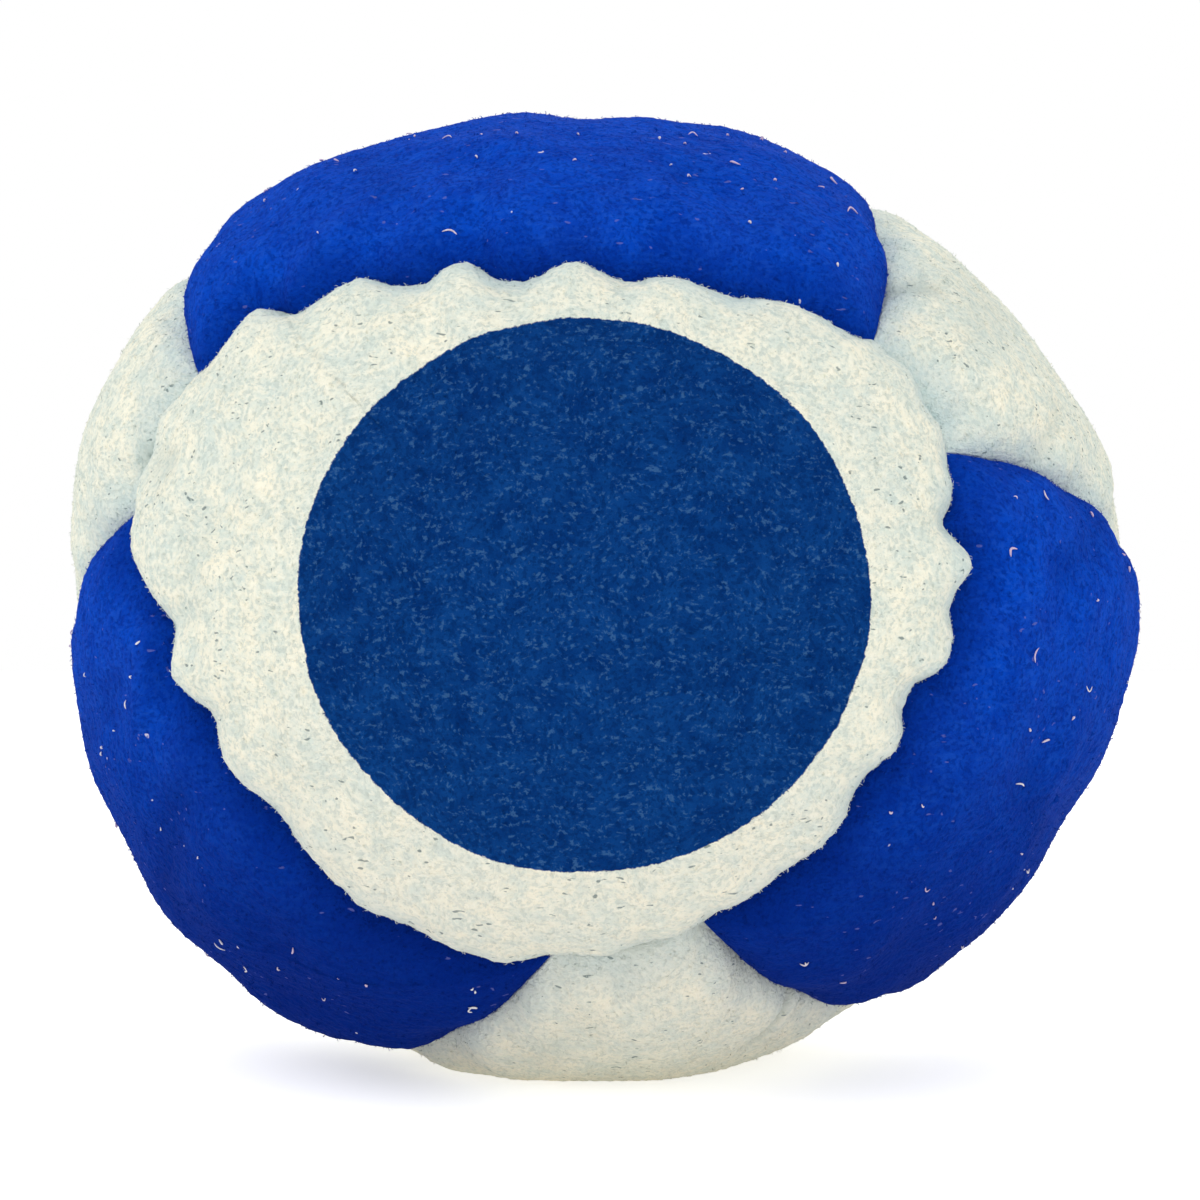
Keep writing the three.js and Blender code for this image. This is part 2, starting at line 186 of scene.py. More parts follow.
@dataclass(frozen=True)
class Ripple:
    """A random but repeatable field of waves in space, for undulations and ragged edges."""

    wavelength: float
    waves: int
    seed: int
    wavelength_shares: Span = (0.7, 1.5)

    def at(self, places: np.ndarray) -> np.ndarray:
        """The field, about -1 to 1: a sum of sines of k.x + phase over waves of random direction.

        Args:
            places: points in millimetres, of shape (n, 3).

        Returns:
            One value for each point.
        """
        draw = np.random.default_rng(self.seed)
        ways = unit(draw.normal(size=(self.waves, 3)))
        numbers = 2 * math.pi / (self.wavelength * draw.uniform(*self.wavelength_shares, self.waves))
        phases = draw.uniform(0, 2 * math.pi, self.waves)
        return np.sin(places @ (ways * numbers[:, None]).T + phases).sum(1) / math.sqrt(self.waves)


@dataclass(frozen=True)
class Swelling:
    """A place, in degrees, where the pellets push the bag out or have slumped away."""

    polar: float
    azimuth: float
    reach: float
    rise_share: float


@dataclass(frozen=True)
class BagShape:
    """The smooth form that the crowns of the panels lie on."""

    half_width: float = 28.1
    half_depth: float = 24.4
    half_height: float = 24.8
    rest_squash: float = 1.1
    swellings: tuple[Swelling, ...] = (
        Swelling(80, 134, 32, 0.063),
        Swelling(80, 222, 25, 0.05),
        Swelling(80, 256, 30, 0.04),
        Swelling(80, 33, 25, -0.046),
        Swelling(80, 338, 16, -0.031),
    )

    def crown(self, directions: np.ndarray) -> np.ndarray:
        """The distance from the middle to the crowns.

        Args:
            directions: unit directions, of shape (..., 3).

        Returns:
            The radius of an ellipsoid, times 1 + rise exp(-(angle / reach)^2) for each swelling.
        """
        halves = (self.half_width, self.half_depth, self.half_height)
        radius = 1 / np.linalg.norm(directions / halves, axis=-1)
        for swelling in self.swellings:
            away = np.degrees(angle_between(directions, towards(swelling.polar, swelling.azimuth)))
            radius = radius * (1 + swelling.rise_share * bell(away, swelling.reach))
        return radius

    def ground_depth(self) -> float:
        """How far the ground is below the bag's middle."""
        return float(self.crown(towards(90, 270))) - self.rest_squash


@dataclass(frozen=True)
class Corner:
    """A place where three panels meet, in degrees."""

    meet: tuple[str, str, str]
    polar: float
    azimuth: float

    def direction(self) -> np.ndarray:
        """The corner's unit direction."""
        return towards(self.polar, self.azimuth)


PANELS: dict[str, Suede] = {
    "front": Suede.WHITE,
    "upper_left": Suede.WHITE,
    "upper_right": Suede.WHITE,
    "bottom": Suede.WHITE,
    "top": Suede.BLUE,
    "left": Suede.BLUE,
    "right": Suede.BLUE,
    "back": Suede.BLUE,
}

CORNERS: tuple[Corner, ...] = (
    Corner(("front", "top", "upper_left"), 62, 152),
    Corner(("front", "top", "upper_right"), 48, 44),
    Corner(("front", "left", "upper_left"), 64, 169),
    Corner(("front", "left", "bottom"), 48, 261),
    Corner(("front", "right", "upper_right"), 46, 23),
    Corner(("front", "right", "bottom"), 44, 286),
    Corner(("top", "upper_left", "upper_right"), 117, 95),
    Corner(("back", "upper_left", "upper_right"), 136, 95),
    Corner(("left", "upper_left", "bottom"), 117, 212),
    Corner(("back", "upper_left", "bottom"), 136, 212),
    Corner(("right", "upper_right", "bottom"), 117, 338),
    Corner(("back", "upper_right", "bottom"), 136, 338),
)

# How far each long edge of the printed panel lies outside the shortest line between its corners, in degrees,
# at even steps from the seam's first corner to its last: high at the tips and low at the notches.
FRONT_EDGES: dict[str, tuple[float, ...]] = {
    "top": (
        0, -0.2, 0.7, 1.7, 2.5, 0.6, 1.4, 2.1, 2.5, 1.2, 0.7, 1.9, 2.3, 0.2, -0.1,
        1.1, 1.7, 0.7, -0.2, 0.5, 0.4, -0.3, -0.8, -0.5, -0.4, -0.7, -1.1, -1.4, 0,
    ),
    "right": (
        0, -0.1, 0.3, 0.5, -0.1, 3.2, 4.2, 3.6, 3.8, 5, 5.2, 4.8, 3, 3.1, 4.2,
        4.5, 3.8, 3.2, 3.3, 3.9, 3.8, 3.5, 2.7, 1.9, 1.6, 1.1, 0.6, -0.2, 0,
    ),
    "left": (
        0, 0.9, 1.3, 1.2, 0.7, 0.3, -0.4, 1.1, 2.4, 2.2, 1.4, 2.5, 3.4, 3.7, 3.2,
        3.1, 3.8, 4.4, 4.9, 5.2, 5.5, 4.9, 4.3, 4, 3.8, 3.2, 2.9, 1.7, 0,
    ),
}

# How far each blue panel bulges into the white one beside it, in degrees.
SIDE_BOWS: dict[tuple[str, str], float] = {
    ("top", "upper_left"): 9,
    ("top", "upper_right"): 12,
    ("left", "upper_left"): 1.5,
    ("left", "bottom"): 8,
    ("right", "upper_right"): 7,
    ("right", "bottom"): 12,
}


def panel_middle(name: str) -> np.ndarray:
    """The middle direction of a panel's corners."""
    return unit(sum(corner.direction() for corner in CORNERS if name in corner.meet))


@dataclass(frozen=True)
class SeamStyle:
    """How a seam runs between its corners, and how raggedly.

    The bow and the full gather are degrees, the sway and the raggedness millimetres. A gather at an uneven
    edge is measured against the mean of the heights up to half a gather away on both sides.
    """

    back_bow: float = 8.0
    sway: float = 0.15
    long_gathers: int = 6
    short_gathers: int = 2
    long_depth: float = 0.65
    short_depth: float = 0.4
    half_gather: int = 2
    full_gather: float = 1.4
    raggedness: float = 0.05
    ragged: Ripple = Ripple(0.55, 24, 11)


class Seam:
    """The line along which two panels are sewn together."""

    def __init__(self, first: str, second: str, start: Corner, end: Corner, shape: BagShape) -> None:
        """Finds the seam's ends, and the way in which it bows.

        Args:
            first: the panel that the seam bows towards where its angle is above 0.
            second: the panel on its other side.
            start: its first corner.
            end: its last corner.
            shape: the form that it lies on.
        """
        self.first, self.start, self.end = first, start, end
        self.shape, self.style = shape, SeamStyle()
        self.long = PANELS[first] is not PANELS[second]
        self.edge = np.array(FRONT_EDGES[second], float) if first == "front" and self.long else None
        bow = SIDE_BOWS.get((first, second), self.style.back_bow)
        self.bow = (bow if PANELS[first] is Suede.WHITE else -bow) if self.long else 0.0
        self.side = unit(np.cross(start.direction(), end.direction()))
        if self.side @ panel_middle(first) < 0:
            self.side = -self.side

    def gather(self, share: np.ndarray) -> np.ndarray:
        """How far the gathers push the seam towards its first panel, from -1 to 1.

        Args:
            share: places along the seam, from 0 to 1.

        Returns:
            At an uneven edge, how far it lies inside its mean over one gather. Elsewhere
            depth sqrt(sin(pi s)) sin(2 pi n s), with n the number of gathers.
        """
        style = self.style
        if self.edge is None:
            gathers, depth = style.short_gathers, style.short_depth
            if self.long:
                gathers, depth = style.long_gathers, style.long_depth
            return depth * arched(share) * np.sin(2 * math.pi * gathers * share)
        around = 2 * style.half_gather + 1
        padded = np.pad(self.edge, style.half_gather, mode="edge")
        mean = np.convolve(padded, np.ones(around) / around, "valid")
        return curve_through(np.clip((mean - self.edge) / style.full_gather, -1, 1), share)

    def directions(self, share: np.ndarray) -> np.ndarray:
        """The seam's directions from the bag's middle.

        Args:
            share: places along the seam, from 0 to 1.

        Returns:
            The great circle between the corners, turned aside by the bow, the gathers and the nap.
        """
        line = along_arc(self.start.direction(), self.end.direction(), share)
        crown = self.shape.crown(line)
        if self.edge is None:
            sway = self.style.sway / crown * self.gather(share)
            aside = np.radians(self.bow) * np.sin(math.pi * share) + sway
        else:
            aside = -np.radians(curve_through(self.edge, share))
        ragged = self.style.ragged.at(line * crown[:, None])
        aside = aside + arched(share) * self.style.raggedness / crown * ragged
        return unit(line * np.cos(aside)[:, None] + self.side * np.sin(aside)[:, None])


def find_seams(shape: BagShape) -> list[Seam]:
    """A seam for each two corners that share two panels."""
    seams = []
    for i, start in enumerate(CORNERS):
        for end in CORNERS[i + 1 :]:
            shared = [name for name in start.meet if name in end.meet]
            if len(shared) == 2:
                seams.append(Seam(*shared, start, end, shape))
    return seams


@dataclass
class Mesh:
    """Points and triangles of one piece, with the values that its material reads."""

    points: np.ndarray
    triangles: np.ndarray
    values: dict[str, np.ndarray] = field(default_factory=dict)

    def make(self, name: str, middle: np.ndarray, material: bpy.types.Material) -> bpy.types.Object:
        """Puts the mesh into Blender.

        Args:
            name: the piece's name.
            middle: the place of the bag's middle in the frame, in millimetres.
            material: the piece's finish.

        Returns:
            The object, at the origin, with its place in its mesh.
        """
        mesh = bpy.data.meshes.new(name)
        places = ((self.points + middle) * METRES).astype(np.float32)
        mesh.vertices.add(len(places))
        mesh.vertices.foreach_set("co", places.ravel())
        mesh.loops.add(self.triangles.size)
        mesh.loops.foreach_set("vertex_index", self.triangles.astype(np.int32).ravel())
        mesh.polygons.add(len(self.triangles))
        mesh.polygons.foreach_set("loop_start", np.arange(0, self.triangles.size, 3, dtype=np.int32))
        mesh.polygons.foreach_set("use_smooth", np.ones(len(self.triangles), bool))
        mesh.update(calc_edges=True)
        for key, value in self.values.items():
            mesh.attributes.new(key, "FLOAT", "POINT").data.foreach_set("value", value.astype(np.float32))
        mesh.materials.append(material)
        piece = bpy.data.objects.new(name, mesh)
        bpy.context.scene.collection.objects.link(piece)
        return piece


def join_meshes(meshes: list[Mesh]) -> Mesh:
    """One mesh out of several, without their values."""
    firsts = np.cumsum([0, *(len(mesh.points) for mesh in meshes[:-1])])
    triangles = [mesh.triangles + first for mesh, first in zip(meshes, firsts)]
    return Mesh(np.concatenate([mesh.points for mesh in meshes]), np.concatenate(triangles))


def fibre_mesh(paths: np.ndarray, radii: np.ndarray, facing: np.ndarray, sides: int) -> Mesh:
    """Closed tubes of a few sides, one along each path.

    Args:
        paths: the middles of the rings, of shape (fibres, rings, 3).
        radii: the radius of each ring, of shape (fibres, rings).
        facing: a direction for each fibre that is never along it, such as the surface's normal.
        sides: how many corners a ring has.

    Returns:
        The mesh: ring corners at path + radius (across cos t + up sin t), and a point in each end ring.
    """
    count, rings, _ = paths.shape
    along = unit(np.gradient(paths, axis=1))
    across = unit(np.cross(along, facing[:, None]))
    up = np.cross(along, across)
    turns = 2 * math.pi * np.arange(sides) / sides
    spokes = across[:, :, None] * np.cos(turns)[:, None] + up[:, :, None] * np.sin(turns)[:, None]
    corners = (paths[:, :, None] + radii[:, :, None, None] * spokes).reshape(count, rings * sides, 3)
    points = np.concatenate([corners, paths[:, :1], paths[:, -1:]], 1)
    here = np.arange(rings * sides).reshape(rings, sides)
    after = np.roll(here, -1, 1)
    root, tip = np.full(sides, rings * sides), np.full(sides, rings * sides + 1)
    faces = [
        (here[:-1], after[:-1], after[1:]),
        (here[:-1], after[1:], here[1:]),
        (root, after[0], here[0]),
        (tip, here[-1], after[-1]),
    ]
    one = np.concatenate([np.stack(corner, -1).reshape(-1, 3) for corner in faces])
    triangles = one[None] + (np.arange(count) * points.shape[1])[:, None, None]
    return Mesh(points.reshape(-1, 3), triangles.reshape(-1, 3))


class Face:
    """The triangles of a panel, as ground for fibres."""

    def __init__(self, panel: Mesh) -> None:
        """Measures each triangle.

        Args:
            panel: the panel's mesh, with the distance to the seams at its points.
        """
        self.panel = panel
        self.corners = panel.points[panel.triangles]
        first, second, third = self.corners.transpose(1, 0, 2)
        self.normals = np.cross(second - first, third - first)
        self.areas = np.linalg.norm(self.normals, axis=1)
        self.distance = panel.values["seam_distance"][panel.triangles].min(1)
        self.height = self.corners[:, :, 2].min(1)

    def pick(self, draw: np.random.Generator, count: int, wanted: np.ndarray) -> np.ndarray:
        """The numbers of triangles drawn by their area times how much each is wanted."""
        weights = self.areas * wanted
        return draw.choice(len(weights), count, p=weights / weights.sum())


@dataclass(frozen=True)
class Nap:
    """The short loose fibres that stand up from a panel's suede, bent over at a knee."""

    fibres: int = 5200
    length: float = 0.18
    length_shares: Span = (0.45, 1.5)
    radius: float = 0.018
    radius_shares: Span = (0.6, 1.4)
    taper: Triple = (1.0, 0.8, 0.15)
    sides: int = 3
    lift: Span = (4.0, 42.0)
    knee_share: float = 0.55
    knee_rise_share: float = 0.08
    tip_droop_share: float = 0.1
    root_depth: float = 0.05
    seam_crowding: float = 4.5
    seam_reach: float = 0.8
    seam_clearance: float = 0.12
    ground_clearance: float = 0.3

    def over(self, face: Face, ground: float, seed: int) -> Mesh:
        """Scatters the fibres over a panel's face.

        Args:
            face: the panel's triangles.
            ground: the height of the ground.
            seed: the seed for this panel.

        Returns:
            Bent fibres on points picked by area, more of them near the seams, with the root's values.
        """
        draw = np.random.default_rng(seed)
        free = (face.distance > self.seam_clearance) & (face.height > ground + self.ground_clearance)
        crowd = 1 + self.seam_crowding * bell(face.distance, self.seam_reach)
        pick = face.pick(draw, self.fibres, crowd * free)
        shares = draw.dirichlet((1, 1, 1), self.fibres)
        roots = (face.corners[pick] * shares[:, :, None]).sum(1)
        normal = unit(face.normals[pick])
        flat = unit(np.cross(normal, draw.normal(size=(self.fibres, 3))))
        lift = np.radians(draw.uniform(*self.lift, self.fibres))[:, None]
        way = flat * np.cos(lift) + normal * np.sin(lift)
        length = self.length * draw.uniform(*self.length_shares, self.fibres)[:, None]
        knee = roots + way * length * self.knee_share + normal * length * self.knee_rise_share
        tip = roots + way * length - normal * length * self.tip_droop_share
        paths = np.stack([roots - normal * self.root_depth, knee, tip], 1)
        radii = self.radius * draw.uniform(*self.radius_shares, self.fibres)[:, None] * np.array(self.taper)
        mesh = fibre_mesh(paths, radii, np.cross(normal, flat), self.sides)
        each = len(mesh.points) // self.fibres
        for key, value in face.panel.values.items():
            mesh.values[key] = np.repeat((value[face.panel.triangles[pick]] * shares).sum(1), each)
        return mesh


@dataclass(frozen=True)
class Lint:
    """The few pale curled fibres that cling to the blue suede, most of them short."""

    fibres: int = 50
    rings: int = 7
    sides: int = 5
    least_length: float = 0.14
    most_length: float = 0.85
    short_bias: int = 3
    radius: float = 0.048
    radius_shares: Span = (0.6, 1.3)
    end_share: float = 0.35
    rest_share: float = 0.6
    hump_share: float = 1.5
    curl: float = 0.55
    clearance: float = 1.0

    def over(self, face: Face, ground: float, seed: int) -> Mesh:
        """Lays the fibres on a panel's face.

        Args:
            face: the panel's triangles.
            ground: the height of the ground.
            seed: the seed for this panel.

        Returns:
            Tubes whose middles are root + way length t + side curl length sin(pi t) + a low hump.
        """
        draw = np.random.default_rng(seed)
        free = (face.distance > self.clearance) & (face.height > ground + self.clearance)
        pick = face.pick(draw, self.fibres, free)
        roots, normal = face.corners[pick].mean(1), unit(face.normals[pick])
        way = unit(np.cross(normal, draw.normal(size=(self.fibres, 3))))
        side = np.cross(normal, way)
        spread = self.most_length - self.least_length
        length = self.least_length + spread * draw.random(self.fibres) ** self.short_bias
        turn = draw.uniform(-self.curl, self.curl, self.fibres) * length
        share = np.linspace(0, 1, self.rings)
        wave = np.sin(math.pi * share)
        paths = roots[:, None] + way[:, None] * (length[:, None] * share)[:, :, None]
        paths = paths + side[:, None] * (turn[:, None] * wave)[:, :, None]
        hump = self.radius * (self.rest_share + self.hump_share * wave)
        paths = paths + normal[:, None] * hump[:, None]
        ends = self.end_share + (1 - self.end_share) * arched(share)
        radii = self.radius * draw.uniform(*self.radius_shares, self.fibres)[:, None] * ends
        return fibre_mesh(paths, radii, normal, self.sides)


def join_rings(a: np.ndarray, b: np.ndarray) -> np.ndarray:
    """Triangles between two closed rings, from the inner or upper one to the next.

    Args:
        a: the vertex numbers of the first ring.
        b: those of the second, which has as many, twice as many, half as many, or one of them is a point.

    Returns:
        Triangles that face outwards, of shape (n, 3).
    """
    if len(a) > len(b):
        return join_rings(b, a)[:, [1, 0, 2]]
    a2, b2 = np.roll(a, -1), np.roll(b, -1)
    if len(a) == 1:
        parts = [(np.full(len(b), a[0]), b, b2)]
    elif len(a) == len(b):
        parts = [(a, b, b2), (a, b2, a2)]
    else:
        even, odd, after = b[::2], b[1::2], b2[1::2]
        parts = [(a, even, odd), (a, odd, a2), (a2, odd, after)]
    return np.concatenate([np.stack(part, 1) for part in parts])


@dataclass(frozen=True)
class Crease:
    """A soft crease in a panel: a groove along the line between two directions."""

    start: Span
    end: Span
    width: float
    depth: float

    def groove(self, places: np.ndarray, shape: BagShape) -> np.ndarray:
        """How deep the crease is at each place: depth exp(-(distance / width)^2) from its line.

        Args:
            places: points on the crowns, in millimetres.
            shape: the form that they lie on.

        Returns:
            The depths.
        """
        a, b = (towards(*end) for end in (self.start, self.end))
        a, b = a * float(shape.crown(a)), b * float(shape.crown(b))
        share = np.clip((places - a) @ (b - a) / ((b - a) @ (b - a)), 0, 1)
        distance = np.linalg.norm(places - a - share[:, None] * (b - a), axis=1)
        return self.depth * bell(distance, self.width)


# The puckers and soft folds of each panel, with their ends as polar angle and azimuth.
CREASES: dict[str, tuple[Crease, ...]] = {
    "front": (
        Crease((57.0, 164.0), (54.0, 163.0), 1.3, 0.3),
        Crease((46.9, 168.9), (47.4, 181.6), 1.8, 0.16),
    ),
    "upper_left": (Crease((60.0, 164.0), (62.5, 163.5), 1.0, 0.75),),
    "upper_right": (
        Crease((56.0, 49.0), (61.0, 44.5), 1.0, 0.35),
        Crease((67.6, 22.8), (58.0, 16.5), 0.9, 0.25),
        Crease((60.0, 36.0), (74.0, 38.0), 2.6, 0.25),
    ),
    "bottom": (
        Crease((64.0, 296.0), (70.0, 287.2), 0.5, 0.55),
        Crease((55.0, 290.0), (61.5, 295.1), 1.1, 0.35),
        Crease((45.0, 285.6), (52.0, 291.0), 0.9, 0.4),
        Crease((56.0, 266.0), (66.0, 262.0), 1.8, 0.2),
    ),
    "left": (
        Crease((58.0, 205.0), (72.0, 214.0), 1.6, 0.3),
        Crease((62.0, 190.0), (78.0, 196.0), 1.4, 0.2),
        Crease((60.0, 226.0), (74.0, 232.0), 1.8, 0.22),
    ),
    "right": (
        Crease((54.0, 3.0), (66.0, 8.0), 1.6, 0.25),
        Crease((56.0, 336.0), (70.0, 330.0), 1.8, 0.25),
    ),
    "top": (
        Crease((58.0, 118.0), (70.0, 120.0), 1.8, 0.2),
        Crease((56.0, 80.0), (68.0, 76.0), 1.8, 0.18),
    ),
}


@dataclass(frozen=True)
class PanelStyle:
    """The sewn edge and the suede of a panel, and how finely it is divided.

    A lip is how far from a seam the face has risen to its crown. The soft turn is degrees. The face's rings
    are thinned by halves inside each of the halving shares, and each inner ring is a share of the way out
    with one point for this many columns.
    """

    thickness: float = 0.9
    contact_gap: float = 0.02
    seam_gap: float = 0.3
    allowance: float = 2.0
    valley: float = 2.1
    short_seam_lip: float = 6.0
    blue_lip: float = 4.0
    front_lip: float = 3.2
    white_lip: float = 6.5
    swell: float = 0.45
    swell_reach: float = 3.0
    swell_start: float = 0.5
    soft_turn: float = 1.2
    white_undulation: float = 0.1
    blue_undulation: float = 0.2
    waves: Ripple = Ripple(6.0, 16, 5)
    fuzz: float = 0.03
    nap: Ripple = Ripple(0.5, 48, 7)
    lip_zone: float = 7.0
    lip_rings: int = 30
    crown_spacing: float = 0.32
    long_columns: int = 184
    short_columns: int = 64
    halving_shares: tuple[float, ...] = (0.62, 0.32, 0.16)
    inner_rings: tuple[tuple[float, int], ...] = ((0.8, 2), (0.55, 4), (0.3, 8))
    batches: int = 24


class SewnPanel:
    """One panel: its crowned face, the rounded edge that dives into the seam, and its inner side."""

    def __init__(self, name: str, seams: list[Seam], shape: BagShape) -> None:
        """Collects the panel's outline.

        Args:
            name: one of PANELS.
            seams: all the seams of the bag.
            shape: the form that the crowns lie on.
        """
        self.name, self.shape, self.style = name, shape, PanelStyle()
        self.suede = PANELS[name]
        self.sides = self.sides_in_order(seams)
        self.outline = np.concatenate([side for _, side, _ in self.sides])
        self.middle = towards(90, 270) if name == "bottom" else unit(self.outline.sum(0))
        self.gathers = self.softened(np.concatenate([gather for _, _, gather in self.sides]))
        self.arc = angle_between(self.middle, self.outline) * shape.crown(self.outline)

    def sides_in_order(self, seams: list[Seam]) -> list[tuple[Seam, np.ndarray, np.ndarray]]:
        """Each seam round the panel, anticlockwise for someone who looks at it from outside.

        Args:
            seams: all the seams of the bag.

        Returns:
            The seam, its directions from one corner up to the next, and how far each gather pushes it
            out of this panel.
        """
        middle = panel_middle(self.name)
        across = unit(np.array([middle[1], -middle[0], 0.0]))
        up = np.cross(middle, across)
        corners = sorted(
            (corner for corner in CORNERS if self.name in corner.meet),
            key=lambda corner: math.atan2(corner.direction() @ up, corner.direction() @ across),
        )
        sides = []
        for corner, following in zip(corners, corners[1:] + corners[:1]):
            seam = next(s for s in seams if {s.start, s.end} == {corner, following})
            columns = self.style.long_columns if seam.long else self.style.short_columns
            share = np.arange(columns) / columns
            share = share if seam.start is corner else 1 - share
            outwards = -1 if seam.first == self.name else 1
            sides.append((seam, seam.directions(share), outwards * seam.gather(share)))
        return sides

    def softened(self, gathers: np.ndarray) -> np.ndarray:
        """The gathers without sharp steps where the outline runs almost towards the panel's middle.

        Args:
            gathers: how far each outline point's gather pushes it out.

        Returns:
            The mean over the outline, weighted by exp(-(turn / soft turn)^2) of the turn round the middle.
        """
        flat = unit(self.outline - self.middle * (self.outline @ self.middle)[:, None])
        weights = bell(np.degrees(angle_between(flat[:, None], flat[None])), self.style.soft_turn)
        return weights @ gathers / weights.sum(1)

    def lip_width(self, seam: Seam) -> float:
        """How far from a seam the panel's face has risen to its crown."""
        if not seam.long:
            return self.style.short_seam_lip
        if self.suede is Suede.BLUE:
            return self.style.blue_lip
        return self.style.front_lip if self.name == "front" else self.style.white_lip

    def rise(self, directions: np.ndarray) -> tuple[np.ndarray, np.ndarray]:
        """How far the face has risen out of the valleys.

        Args:
            directions: unit directions inside the outline.

        Returns:
            The product over the seams of a quarter ellipse, sqrt(1 - (1 - d / w)^2) of the distance d up to
            the lip's width w and 1 beyond it, and the distance to the nearest seam in millimetres.
        """
        crown = self.shape.crown(directions)
        risen, nearest = np.ones(len(directions)), np.full(len(directions), np.inf)
        for seam, line, _ in self.sides:
            batches = np.array_split(directions, self.style.batches)
            closest = np.concatenate([(batch @ line.T).max(1) for batch in batches])
            distance = crown * np.sqrt(np.clip(2 - 2 * closest, 0, None))
            left = np.clip(1 - distance / self.lip_width(seam), 0, 1)
            risen *= np.sqrt(1 - left**2)
            nearest = np.minimum(nearest, distance)
        return risen, nearest

    def settled(self, directions: np.ndarray, radius: np.ndarray, above: float = 0.0) -> np.ndarray:
        """Points at a radius, moved up to the ground, or to a height above it.

        Args:
            directions: unit directions.
            radius: the distance of each from the bag's middle.
            above: the least height above the ground.

        Returns:
            direction * radius, with z at least the ground's plus the height.
        """
        places = directions * radius[:, None]
        places[:, 2] = np.maximum(places[:, 2], above - self.shape.ground_depth())
        return places

    def face_rings(self) -> list[np.ndarray]:
        """The shares of the way from the middle to each outline point, ring by ring.

        Returns:
            Rings of shares and columns: at even steps up to the lip, thinned by halves towards the middle,
            and then at the distances w (1 - cos t) from the seam, which crowd together where the edge is
            steep.
        """
        style, columns = self.style, len(self.arc)
        inner = 1 - style.lip_zone / self.arc
        count = int(np.ceil((self.arc * inner).mean() / style.crown_spacing))
        rings = []
        for step in range(1, count):
            share = step / count
            thin = 2 ** sum(share < limit for limit in style.halving_shares)
            rings.append(np.stack([share * inner[::thin], np.arange(0, columns, thin)]))
        for turn in np.linspace(math.pi / 2, 0, style.lip_rings + 1):
            distance = style.contact_gap + (style.lip_zone - style.contact_gap) * (1 - math.cos(turn))
            rings.append(np.stack([1 - distance / self.arc, np.arange(columns)]))
        return rings

    def face_radius(self, directions: np.ndarray, column: np.ndarray) -> tuple[np.ndarray, ...]:
        """How far the face lies from the bag's middle.

        Args:
            directions: unit directions inside the outline.
            column: the outline point that each belongs to.

        Returns:
            The radius, crown - valley (1 - rise) + swell gather + undulations - creases + fuzz, the distance
            to the nearest seam, and the depth of the creases.
        """
        style = self.style
        crown = self.shape.crown(directions)
        places = directions * crown[:, None]
        risen, distance = self.rise(directions)
        near = bell(distance, style.swell_reach) * (1 - bell(distance, style.swell_start))
        grooves = np.zeros(len(places))
        for crease in CREASES.get(self.name, ()):
            grooves += crease.groove(places, self.shape)
        undulation = style.blue_undulation if self.suede is Suede.BLUE else style.white_undulation
        radius = crown - style.valley * (1 - risen) + style.swell * self.gathers[column] * near
        radius = radius + undulation * smooth(distance / style.lip_zone) * style.waves.at(places)
        radius = radius - grooves + style.fuzz * smooth(distance / style.swell_start) * style.nap.at(places)
        return radius, distance, grooves

    def under_radius(self, directions: np.ndarray) -> np.ndarray:
        """How far the inner side lies from the bag's middle: crown - valley (1 - rise) - thickness."""
        risen = self.rise(directions)[0]
        return self.shape.crown(directions) - self.style.valley * (1 - risen) - self.style.thickness

    def under_rings(self) -> list[np.ndarray]:
        """The rings of points below the face.

        Returns:
            The allowance's outer and inner edge, the corner where it meets the inner side, the inner side's
            rings, which halve towards the middle, and its pole.
        """
        style = self.style
        edge = (self.shape.crown(self.outline) - style.valley - style.allowance)[:, None]
        wall = along_arc(self.middle, self.outline, 1 - style.contact_gap / self.arc)
        inside = 1 - (style.seam_gap / 2 + style.thickness) / self.arc
        inner_wall = along_arc(self.middle, self.outline, inside)
        rings = [wall * edge, inner_wall * edge, inner_wall * self.under_radius(inner_wall)[:, None]]
        for share, thin in style.inner_rings:
            outline = self.outline[::thin]
            way = along_arc(self.middle, outline, np.full(len(outline), share))
            rings.append(self.settled(way, self.under_radius(way), style.thickness))
        pole = self.middle[None]
        return [*rings, self.settled(pole, self.shape.crown(pole) - style.thickness, style.thickness)]

    def build(self) -> Mesh:
        """The panel's mesh: its face, the allowance that is turned in along the seams, and its inner side."""
        rings = self.face_rings()
        share, column = np.concatenate(rings, 1)
        column = column.astype(int)
        directions = along_arc(self.middle, self.outline[column], share)
        radius, distance, grooves = self.face_radius(directions, column)
        pole = self.middle[None]
        under = self.under_rings()
        face = [self.settled(pole, self.shape.crown(pole)), self.settled(directions, radius)]
        points = np.concatenate([*face, *under])
        counts = [1, *(ring.shape[1] for ring in rings), *(len(ring) for ring in under)]
        numbers = np.split(np.arange(len(points)), np.cumsum(counts)[:-1])
        triangles = np.concatenate([join_rings(a, b) for a, b in zip(numbers, numbers[1:])])
        hidden = np.zeros(len(points) - len(directions) - 1)
        values = {
            "seam_distance": np.concatenate([[self.style.lip_zone], distance, hidden]),
            "print_angle": np.degrees(angle_between(unit(points), towards(*NavyPrint.middle))),
            "crease_depth": np.concatenate([[0.0], grooves, hidden]),
        }
        return Mesh(points, triangles, values)


def colour(red: int, green: int, blue: int) -> Tone:
    """A screen colour, from 0 to 255, as the linear light that nodes want: the sRGB curve."""
    parts = np.array([red, green, blue]) / 255
    linear = np.where(parts <= 0.04045, parts / 12.92, ((parts + 0.055) / 1.055) ** 2.4)
    return (*map(float, linear), 1.0)


@dataclass(frozen=True)
class Noise:
    """Soft noise from 0 to 1: its lumps to a millimetre, its layers, and how strong the fine ones are."""

    scale: float
    detail: float = 2.0
    roughness: float = 0.5


NOISE_MEAN = 0.5
WHITE = (1.0, 1.0, 1.0, 1.0)


